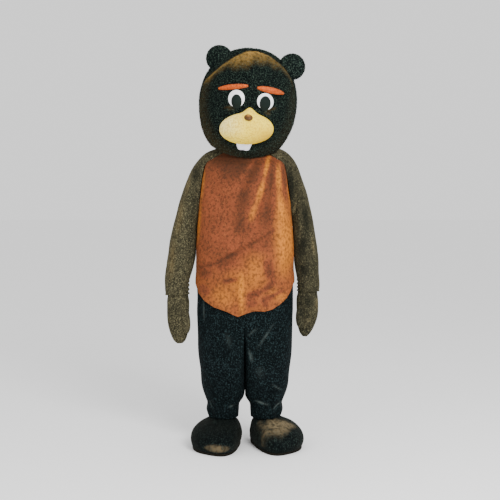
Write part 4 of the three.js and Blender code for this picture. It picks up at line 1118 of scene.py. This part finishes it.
def head_painted_light(points):
    """Painted golden sheen at the crown, painted sheen on the sides and painted highlights on the cheeks, as
    shares of the lit colour, and painted shade just behind the top seam.
    """
    x, y, z = into_head(points).T
    behind = behind_seam(y, z)
    front = smooth((2 - behind) / 3)
    below = np.interp(x, *zip(*CROWN_SHEEN_TOP)) - z
    middle = np.exp(-(((x + 8) / 75) ** 2))
    uneven = 8 * np.sin(x / 23 + 0.8) + 5 * np.sin(x / 9)
    edge = smooth((below + 3) / 5)
    crown_sheen = smooth(1 - (below + uneven) / (42 + 58 * middle)) * (0.24 + 0.55 * middle + 0.14
                                                                * smooth((60 - x) / 60))
    line = 0.3 * np.exp(-(((below - 3) / 5) ** 2)) * smooth((110 - x) / 40)
    rim = np.hypot(x / HEAD["wide"], z / np.where(z > 0, HEAD["up"], HEAD["down"]))
    sides = (0.035 + 0.05 * smooth((40 - x) / 120)) * smooth((rim - 0.72) / 0.24) * smooth((130 - z) / 100)
    cheeks = along_strokes(CHEEK_PAINTED_HIGHLIGHTS, x, z) * smooth((-y - 60) / 60)
    lit = ((crown_sheen + line) * edge * smooth((z - 40) / 50) + sides) * front
    deep = 0.5 * np.exp(-(((behind - 4) / 7) ** 2)) * (1 - front)
    return lit + np.maximum(cheeks, 0), deep


def everywhere(points):
    return np.ones(len(points), bool)


def plain_tones(lit=0.0, deep=0.0):
    return lambda points: (np.full(len(points), lit), np.full(len(points), deep))


# Painted highlights on the trousers' front folds, and painted light and shade along the back's folds.
def suit_painted_light(points):
    x, y, z = points.T
    front = along_strokes(LEG_PAINTED_HIGHLIGHTS, x, z, 1.3) * smooth((-y - 8) / 40)
    back = 0.05 * along_strokes(BACK_FOLDS, x, z) * smooth((y - 50) / 40)
    return from_strokes(front + back)


# Painted highlights on the front's ridges, painted shade in its troughs and under the chin, and a little more
# of the lit colour from 900 mm down.
def panel_painted_light(points):
    x, y, z = points.T
    strokes = 1.15 * along_strokes(PANEL_PAINTED_LIGHT_AND_SHADE, x, z,
                                   1.2) * smooth((-y - 2) / 40) + 0.1 * smooth((900 - z) / 250)
    lit, deep = np.maximum(strokes, 0), np.maximum(-strokes, 0)
    return 0.95 * (1 - np.exp(-1.3 * lit)), 0.82 * (1 - np.exp(-1.5 * deep))


# Painted highlights and painted shade on the sleeves, mitts and thumbs.
def arm_painted_light(points):
    x, y, z = points.T
    # This makes the front of the right arm and its mitt darker, from x = 150 mm outwards.
    worn = -0.45 * smooth((x - 150) / 40)
    lit, deep = from_strokes(along_strokes(ARM_PAINTED_LIGHT_AND_SHADE, x, z, 1.2) * smooth((-y + 30) / 40)
                             + worn * smooth((-y + 30) / 60))
    return lit, 0.8 * deep


# Painted tan light on the right foot's top, painted shade in its creases and on its sides, and a painted
# highlight on the left toe; the left foot is darker all over.
def foot_painted_light(points):
    x, y, z = points.T
    on_top = smooth((z - 12) / 22)
    toe_highlight_shape = np.exp(-(np.hypot((x - TOE_PAINTED_HIGHLIGHT["x"]) / TOE_PAINTED_HIGHLIGHT["half_x"],
                               (z - TOE_PAINTED_HIGHLIGHT["z"]) / TOE_PAINTED_HIGHLIGHT["half_z"]) ** 4))
    toe = TOE_PAINTED_HIGHLIGHT["share"] * toe_highlight_shape * smooth((-y - 140) / 40)
    return from_strokes(along_strokes(FOOT_PAINTED_LIGHT_AND_SHADE, x, y) * on_top + toe
                        - np.where(x < 0, 0.4, 0.3 * (1 - on_top)))


def tuft_count(name, description, default):
    return IntProperty(name=name, description=description, default=default, min=100, max=48000)


def cloth_colour(name, description, code):
    return FloatVectorProperty(name=name, description=description, subtype="COLOR", default=linear(code),
                               min=0, max=1)


class CostumeSizes(bpy.types.PropertyGroup):
    """Sizes that a user of the costume may change."""
    cloth_grid: FloatProperty(name="Cloth grid", description="Spacing of the cloth's points in millimetres",
                              default=7.0, min=4.0, max=30.0)
    fold_height: FloatProperty(name="Fold height", description="Height of the folds as a share of the cut's",
                               default=1.0, min=0.0, max=1.5, subtype="FACTOR")
    head_pile: FloatProperty(name="Head pile", description="Length of the head's pile in millimetres",
                             default=8.0, min=2.0, max=20.0)
    head_tufts: tuft_count("Head tufts", "Tufts of pile on each gore of the head", 24000)
    ear_tufts: tuft_count("Ear tufts", "Tufts of pile on each ear", 7000)
    brow_tufts: tuft_count("Brow tufts", "Tufts of pile on each brow", 2500)


class CostumeColours(bpy.types.PropertyGroup):
    """Colours of the costume's cloths."""
    dark: cloth_colour("Head plush", "Colour of the head's plush", "#0e1516")
    trousers: cloth_colour("Trouser plush", "Colour of the trousers and backs", "#070d0e")
    sleeves: cloth_colour("Sleeve plush", "Colour of the sleeves and mitts", "#3a3628")
    rust: cloth_colour("Front velour", "Colour of the front panel", "#783e27")
    brows: cloth_colour("Brow plush", "Colour of the brows", "#d4561c")
    cream: cloth_colour("Muzzle velour", "Colour of the muzzle", "#f4d53c")
    floor: cloth_colour("Floor", "Colour of the studio floor", "#fafafa")


class COSTUME_OT_suit(bpy.types.Operator):
    """Sews the suit: rust front, backs, trouser fronts, sleeves and the placket"""
    bl_idname = "costume.suit"
    bl_label = "Suit"

    def execute(self, context):
        bodies = {side: body_net(side) for side, _ in SIDES}
        sleeves = {side: sleeve_net(side) for side, _ in SIDES}
        armholes = carve(filled(sleeves[LEFT], SEAM), ("UNION", filled(sleeves[RIGHT], SEAM)))
        panel = carve(wall(panel_net(), CLOTH, closed=False),
                      ("INTERSECT", beyond(1, SIDE_SEAM_Y - HALF_SEAM, -1)),
                      ("INTERSECT", around_edge(0, FAR)), ("DIFFERENCE", armholes))
        front = put("front_velour", largest(panel), "rust_knitted_velour", "front_panel",
                    panel_painted_light)
        room = carve(wall(grown(panel_net(), SEAM, closed=False), CLOTH + 2 * SEAM, closed=False),
                     ("INTERSECT", around_edge(-SEAM, FAR)))
        for side, name in SIDES:
            half = carve(wall(bodies[side], CLOTH), ("DIFFERENCE", fork_cutter()))
            back = carve(half.copy(), ("INTERSECT", beyond(1, SIDE_SEAM_Y + HALF_SEAM, 1)),
                         ("DIFFERENCE", armholes))
            leg = carve(half, ("INTERSECT", beyond(1, SIDE_SEAM_Y - HALF_SEAM, -1)),
                        ("INTERSECT", around_edge(FRONT_LAP, -FAR)), ("DIFFERENCE", room))
            sleeve = carve(wall(sleeves[side], CLOTH), ("DIFFERENCE", filled(bodies[side], SEAM)))
            upper = carve(back.copy(), ("INTERSECT", beyond(2, BACK_SEAM + HALF_SEAM, 1)))
            lower = carve(back, ("INTERSECT", beyond(2, BACK_SEAM - HALF_SEAM, -1)))
            upper = put(f"back_{name}_plush", largest(upper), "trouser_plush", f"back_{name}",
                        suit_painted_light)
            lower = put(f"leg_back_{name}_plush", largest(lower), "trouser_plush",
                        f"leg_back_{name}",
                        suit_painted_light)
            leg = put(f"leg_front_{name}_plush", largest(leg), "trouser_plush",
                      f"leg_front_{name}",
                      suit_painted_light)
            sleeve = put(f"sleeve_{name}_plush", largest(sleeve), "sleeve_short_plush",
                         f"sleeve_{name}", arm_painted_light)
        backs = carve(filled(bodies[LEFT], SEAM), ("UNION", filled(bodies[RIGHT], SEAM)))
        strip = carve(wall(placket_net(), 2 * CLOTH, closed=False), ("DIFFERENCE", backs))
        placket = put("placket_plush", largest(strip), "trouser_plush", "back_placket",
                      suit_painted_light)
        return {"FINISHED"}


class COSTUME_OT_mitts(bpy.types.Operator):
    """Sews the mitts: back of the hand, palm and thumb"""
    bl_idname = "costume.mitts"
    bl_label = "Mitts"

    def execute(self, context):
        for side, name in SIDES:
            lean = [MITT_LEAN[side], 0, 0, 0, 0]
            mitt = arm_net(np.array(MITTS[side]) + lean, net_steps(330), net_steps(320), MITT_POWER,
                           mitt_lift)
            thumb = arm_net(np.array(THUMBS[side]) + lean, net_steps(210), net_steps(200), THUMB_POWER)
            bag = carve(wall(mitt, CLOTH, tip=True), ("DIFFERENCE", filled(thumb, SEAM)))
            for part, gap, end in (("front", -HALF_SEAM, -FAR), ("palm", HALF_SEAM, FAR)):
                seam = [(row[1] + gap, row[2]) for row in MITTS[side]]
                outline = [*seam, (seam[-1][0], 0), (end, 0), (end, 1000), (seam[0][0], 1000)]
                split = prism(outline, -FAR, FAR, (1, 2, 0))
                half = put(f"mitt_{part}_{name}_plush", largest(carve(bag.copy(), ("INTERSECT", split))),
                           "sleeve_short_plush", f"mitt_{part}_{name}", arm_painted_light)
            sewn = carve(wall(thumb, CLOTH, tip=True), ("DIFFERENCE", filled(mitt, SEAM)))
            tube = put(f"thumb_{name}_plush", largest(sewn), "sleeve_short_plush",
                       f"thumb_{name}",
                       arm_painted_light)
        return {"FINISHED"}


class COSTUME_OT_foot_covers(bpy.types.Operator):
    """Sews the foot covers: inner and outer uppers, and soles with a rounded edge"""
    bl_idname = "costume.foot_covers"
    bl_label = "Foot covers"

    def execute(self, context):
        rows, around = net_steps(300), net_steps(860)
        for side, name in SIDES:
            net = foot_ring(between(FOOT, steps(rows)), side, around)
            inward = seam_dip(net[..., 0] - side * FOOT_SEAM, 6, 1.8) * smooth((150 - net[..., 2]) / 30)
            creases = along_strokes([(s[0], s[1], s[2], s[3], s[4], 3 * s[5]) for s in FOOT_PAINTED_LIGHT_AND_SHADE
                                     if s[5] < 0],
                                    *np.moveaxis(place_foot(net, side), -1, 0)[:2])
            lift = inward + creases * smooth((net[..., 2] - 20) / 30) + rumple(net, 1.4, 80)
            net = net + (lift * smooth((net[..., 2] - 9) / 20))[..., None] * normals_of(net, True)
            upper = carve(wall(net, CLOTH), ("INTERSECT", box(-FAR, FAR, -FAR, FAR, SOLE + SEAM, FAR)))
            for part, way in (("inner", -side), ("outer", side)):
                half = carve(upper.copy(), ("INTERSECT", beyond(0, side * FOOT_SEAM + way * HALF_SEAM, way)))
                half = moved_mesh(largest(half), lambda p: place_foot(p, side))
                made = put(f"foot_{part}_{name}_plush", half, "foot_plush",
                           f"foot_{part}_{name}",
                           foot_painted_light)
            outline = foot_ring(between(FOOT, place_of(FOOT, np.array([float(SOLE)]))), side, around,
                                SOLE_RIM)[0]
            middle = outline.mean(0)
            rings = []
            for level, inset in SOLE_EDGE[::-1]:
                ring = outline + unit(middle - outline) * inset
                ring[:, 2] = level
                rings.append(ring)
            sole = filled(np.stack(rings))
            put(f"sole_{name}_canvas", moved_mesh(sole, lambda p: place_foot(p, side)), "sole_canvas",
                f"foot_sole_{name}", plain_tones())
        return {"FINISHED"}


class COSTUME_OT_head(bpy.types.Operator):
    """Sews the head's four gores with their pile, and the stuffed ears"""
    bl_idname = "costume.head"
    bl_label = "Head and ears"

    def execute(self, context):
        sizes = context.scene.costume
        shoulders = [filled(body_net(side), SEAM) for side, _ in SIDES]
        shoulders += [filled(sleeve_net(side), SEAM) for side, _ in SIDES]
        angles = 2 * PI * steps(60)[1:]
        hole = [(HEAD_HOLE["wide"] * np.cos(a), HEAD_HOLE["y"] + HEAD_HOLE["deep"] * np.sin(a))
                for a in angles]
        shell = carve(head_volume(-PILE_ROOM), ("DIFFERENCE", head_volume(-PILE_ROOM - HEAD_WALL)),
                      ("DIFFERENCE", prism(hole, -FAR, HEAD_HOLE["below"], (0, 1, 2))))
        middle = np.array([HEAD["x"], HEAD["y"], HEAD["z"]])

        def outward(points):
            return points - middle

        def nap(points):
            p = into_head(points)
            fall = np.stack([0.9 * p[:, 0], 0.25 * p[:, 1], -160 - 0.5 * np.abs(p[:, 2])], -1)
            return unit(fall)

        def bare(points):
            """Away from the pads of the face and out of the shoulders."""
            p = into_head(points)
            x, y, z = p.T
            keep = np.ones(len(p), bool)
            for row in (*EYES.values(), *BROWS.values()):
                f = face_row(row)
                u, v = unturned(f, x, z)
                keep &= ~((np.hypot(u / (f["half_x"] + 2), v / (f["half_z"] + 2)) < 1) & (y < 0))
            u, v = unturned(MUZZLE, x, z)
            stretch = np.where(v > 0, peak_stretch(u), 1)
            keep &= ~((np.hypot(u / (MUZZLE["half_x"] + 3), v / (MUZZLE["half_z"] + 3) / stretch) < 1)
                      & (y < 0))
            tooth = (np.abs(x - TEETH["x"]) < TEETH["half_x"]
                     + 4) & (np.abs(z - TEETH["z"]) < TEETH["half_z"] + 4)
            return keep & ~(tooth & (y < 0))

        for i, (side, name) in enumerate(SIDES):
            half = carve(shell.copy(), ("INTERSECT", beyond(0, side * HALF_SEAM, side)))
            for j, (part, way) in enumerate((("front", -1), ("back", 1))):
                gore = carve(half.copy(), ("INTERSECT", past_top_seam(way)))
                gore = carve(moved_mesh(gore, place_head),
                             *(("DIFFERENCE", shoulder.copy()) for shoulder in shoulders))
                made = put(f"head_{part}_{name}_plush", largest(gore), "head_long_pile_plush",
                           f"head_{part}_{name}", head_painted_light)
                pile = grow_pile(made, f"head_{part}_{name}_pile", "head_long_pile_plush",
                                 sizes.head_tufts, sizes.head_pile, 0.5, 11 + 2 * i + j, outward, bare, nap,
                                 head_painted_light)
        trim = head_volume(SEAM - PILE_ROOM)
        for side, name in SIDES:
            x, z = EARS[side]
            rows, around = 40, 80
            polar = PI * steps(rows)[1:-1][:, None]
            angle = (-2 * PI * steps(around)[1:])[None, :]
            ring = np.sin(polar)
            ball = np.stack(np.broadcast_arrays(
                x + EAR["radius"] * ring * np.cos(angle),
                EAR["y"] + EAR["thick"] * bent(ring * np.sin(angle), 2),
                z + EAR["radius"] * np.cos(polar)), -1)
            ball = ball + seam_dip((ball[..., 1] - EAR["y"]), 4, 1.6)[..., None] * normals_of(ball, True)
            ear = carve(filled(ball), ("DIFFERENCE", trim.copy()))
            ear = moved_mesh(largest(ear), place_head)
            seat = place_head(np.array([[x, EAR["y"], z]], float))[0]
            made = put(f"ear_{name}_plush", ear, "head_long_pile_plush", f"ear_{name}",
                       plain_tones())

            def out_of_ear(points):
                away = points - seat
                away[:, 1] *= 4
                return away

            grow_pile(made, f"ear_{name}_pile", "head_long_pile_plush", sizes.ear_tufts,
                      0.7 * sizes.head_pile, 0.5, 31 + side, out_of_ear,
                      lambda p: np.linalg.norm(p - middle, axis=1) > EAR_PILE_FROM,
                      lambda p: unit(p - seat + [0, 0, 20.0]), plain_tones())
        return {"FINISHED"}


class COSTUME_OT_face(bpy.types.Operator):
    """Makes the eyes, pupils, brows, muzzle, nose and tooth"""
    bl_idname = "costume.face"
    bl_label = "Face"

    def execute(self, context):
        sizes = context.scene.costume
        head = head_volume(SEAM - PILE_ROOM)

        def trimmed(mesh, *rooms):
            return moved_mesh(largest(carve(mesh, *(("DIFFERENCE", room) for room in rooms))), place_head)

        for side, name in SIDES:
            eye, pupil, brow = face_row(EYES[side]), face_row(PUPILS[side]), face_row(BROWS[side])

            def under(x, z):
                return domed(eye)(x, z, np.minimum(np.hypot((x - eye["x"]) / eye["half_x"],
                                                            (z - eye["z"]) / eye["half_z"]), 1))

            white = pad(oval(eye), domed(eye), root, *EYE_MESH)
            # The whites are painted lighter on their upper parts, above 1500 mm, as painted light.
            put(f"eye_{name}_vinyl", trimmed(white, head.copy()), "eye_white_vinyl",
                f"eye_{name}",
                lambda points: (0.3 * smooth((points[:, 2] - 1500) / 60), np.zeros(len(points))))
            disc = pad(oval(pupil), lambda x, z, r: under(x, z) + SEAM + domed(pupil)(x, z, r),
                       lambda x, z, r: under(x, z) - 1.5, *PUPIL_MESH)
            put(f"pupil_{name}_vinyl",
                trimmed(disc, pad(oval(eye, SEAM), domed(eye, SEAM), root, *EYE_MESH), head.copy()),
                "pupil_black_vinyl", f"pupil_{name}")
            stuffed = pad(oval(brow), domed(brow), root, *BROW_MESH)
            made = put(f"brow_{name}_plush", trimmed(stuffed, head.copy()), "brow_fuzzy_plush",
                       f"brow_{name}", plain_tones(0.15))
            seat = read_points(made.data).mean(0) * 1000 + [0, 40, NECK_HEIGHT]
            grow_pile(made, f"brow_{name}_pile", "brow_fuzzy_plush", sizes.brow_tufts, 3.6,
                      0.55,
                      41 + side, lambda p: p - seat, everywhere,
                      lambda p: np.tile([0.9 * side, 0.0, -0.5], (len(p), 1)), plain_tones(0.2))
        muzzle = pad(muzzle_edge(0), muzzle_height(0), root, *MUZZLE_MESH)

        # Painted light on the muzzle's left side and painted shade on its lower right.
        def muzzle_painted_light(points):
            x, y, z = into_head(points).T
            right = smooth((x - 0.35 * (z + 120) - 10) / 110)
            return 0.9 * smooth((20 - x) / 130) * smooth((z + 190) / 60), 0.75 * right * smooth((-90 - z)
                                                                                                / 60)

        made = put("muzzle_velour", trimmed(muzzle, head.copy()), "cream_velour", "muzzle",
                   muzzle_painted_light)
        nose = face_row(NOSE)
        button = pad(oval(nose), lambda x, z, r: muzzle_under(x, z) + domed(nose)(x, z, r),
                     lambda x, z, r: muzzle_under(x, z) - 6, *NOSE_MESH)
        room = pad(muzzle_edge(SEAM), muzzle_height(SEAM), root, *MUZZLE_MESH)

        # A painted tan highlight in the middle of the nose.
        def nose_painted_highlight(points):
            x, y, z = into_head(points).T
            return np.exp(-(((x - nose["x"] - 1) / 8) ** 2)
                          - ((z - nose["z"]) / 5) ** 2), np.zeros(len(points))

        put("nose_vinyl", trimmed(button, room.copy()), "nose_brown_vinyl", "nose", nose_painted_highlight)

        def tooth_edge(angle, share):
            v = bent(np.sin(angle), TEETH["power"])
            u = bent(np.cos(angle), TEETH["power"]) * (1 + TEETH["narrow"] * v)
            return TEETH["x"] + share * TEETH["half_x"] * u, TEETH["z"] + share * TEETH["half_z"] * v

        tooth = pad(tooth_edge, lambda x, z, r: TEETH["thick"] - 2.5 * smooth((r - 0.8) / 0.2) - 0.6
                    * np.exp(-(((x - TEETH["x"]) / 1.6) ** 2)), root, *TOOTH_MESH)
        put("tooth_vinyl", trimmed(tooth, room, head.copy()), "tooth_white_vinyl", "teeth",
            plain_tones(0.2))
        return {"FINISHED"}


# The photograph's view: 4.5 mm to a pixel in the body's plane, from 4.5 m, level, and shifted down.
VIEW = {"x": 0.0225, "y": -4.5, "z": 1.15, "lens": 72, "sensor": 36, "shift": -0.12667}
# Soft lights: name, place in metres, turn in degrees, size in metres, watts.
LIGHTS = (("key", (1.6, -3.4, 1.5), (52, 0, 24), 1.6, 200),
          ("fill", (-2.4, -3.2, 0.6), (72, 0, -36), 2.2, 30))


class COSTUME_OT_stage(bpy.types.Operator):
    """Lays the pale floor, hangs the soft lights and sets up the camera"""
    bl_idname = "costume.stage"
    bl_label = "Studio"

    def execute(self, context):
        scene = context.scene
        ground = -NECK_HEIGHT / 1000
        bpy.ops.mesh.primitive_plane_add(size=60, location=(0, 0, ground - 0.001))
        floor = context.object
        floor.name = "studio_floor"
        material = bpy.data.materials.new("matt_white_paper")
        material.use_nodes = True
        shader = material.node_tree.nodes["Principled BSDF"]
        shader.inputs["Base Color"].default_value = (*scene.costume_colours.floor, 1)
        shader.inputs["Roughness"].default_value = 0.95
        shader.inputs["Specular IOR Level"].default_value = 0.1
        floor.data.materials.append(material)
        world = bpy.data.worlds.new("white_studio")
        world.use_nodes = True
        world.node_tree.nodes["Background"].inputs["Color"].default_value = (1, 1, 1, 1)
        world.node_tree.nodes["Background"].inputs["Strength"].default_value = 1.2
        scene.world = world
        for name, place, turn, size, power in LIGHTS:
            light = bpy.data.lights.new(name, "AREA")
            light.size, light.energy = size, power
            hung = bpy.data.objects.new(name, light)
            hung.location = place
            hung.rotation_euler = [radians(angle) for angle in turn]
            context.collection.objects.link(hung)
        camera = bpy.data.cameras.new("camera")
        camera.lens, camera.sensor_width, camera.shift_y = VIEW["lens"], VIEW["sensor"], VIEW["shift"]
        stand = bpy.data.objects.new("camera", camera)
        stand.location = (VIEW["x"], VIEW["y"], VIEW["z"] + ground)
        stand.rotation_euler = (radians(90), 0, 0)
        context.collection.objects.link(stand)
        scene.camera = stand
        return {"FINISHED"}


OPERATORS = (COSTUME_OT_stage, COSTUME_OT_suit, COSTUME_OT_mitts, COSTUME_OT_foot_covers, COSTUME_OT_head,
             COSTUME_OT_face)


class COSTUME_PT_pieces(bpy.types.Panel):
    """The costume's sizes, colours and pieces"""
    bl_idname = "COSTUME_PT_pieces"
    bl_label = "Mascot costume"
    bl_space_type = "VIEW_3D"
    bl_region_type = "UI"
    bl_category = "Costume"

    def draw(self, context):
        for group in (context.scene.costume, context.scene.costume_colours):
            for name in group.__annotations__:
                self.layout.prop(group, name)
        for operator in OPERATORS:
            self.layout.operator(operator.bl_idname)


CLASSES = (CostumeSizes, CostumeColours, *OPERATORS, COSTUME_PT_pieces)


def register():
    for made in CLASSES:
        bpy.utils.register_class(made)
    bpy.types.Scene.costume = PointerProperty(type=CostumeSizes)
    bpy.types.Scene.costume_colours = PointerProperty(type=CostumeColours)


def unregister():
    del bpy.types.Scene.costume_colours
    del bpy.types.Scene.costume
    for made in reversed(CLASSES):
        bpy.utils.unregister_class(made)


def main():
    register()
    bpy.ops.costume.stage()
    bpy.ops.costume.suit()
    bpy.ops.costume.mitts()
    bpy.ops.costume.foot_covers()
    bpy.ops.costume.head()
    bpy.ops.costume.face()


if __name__ == "__main__":
    main()
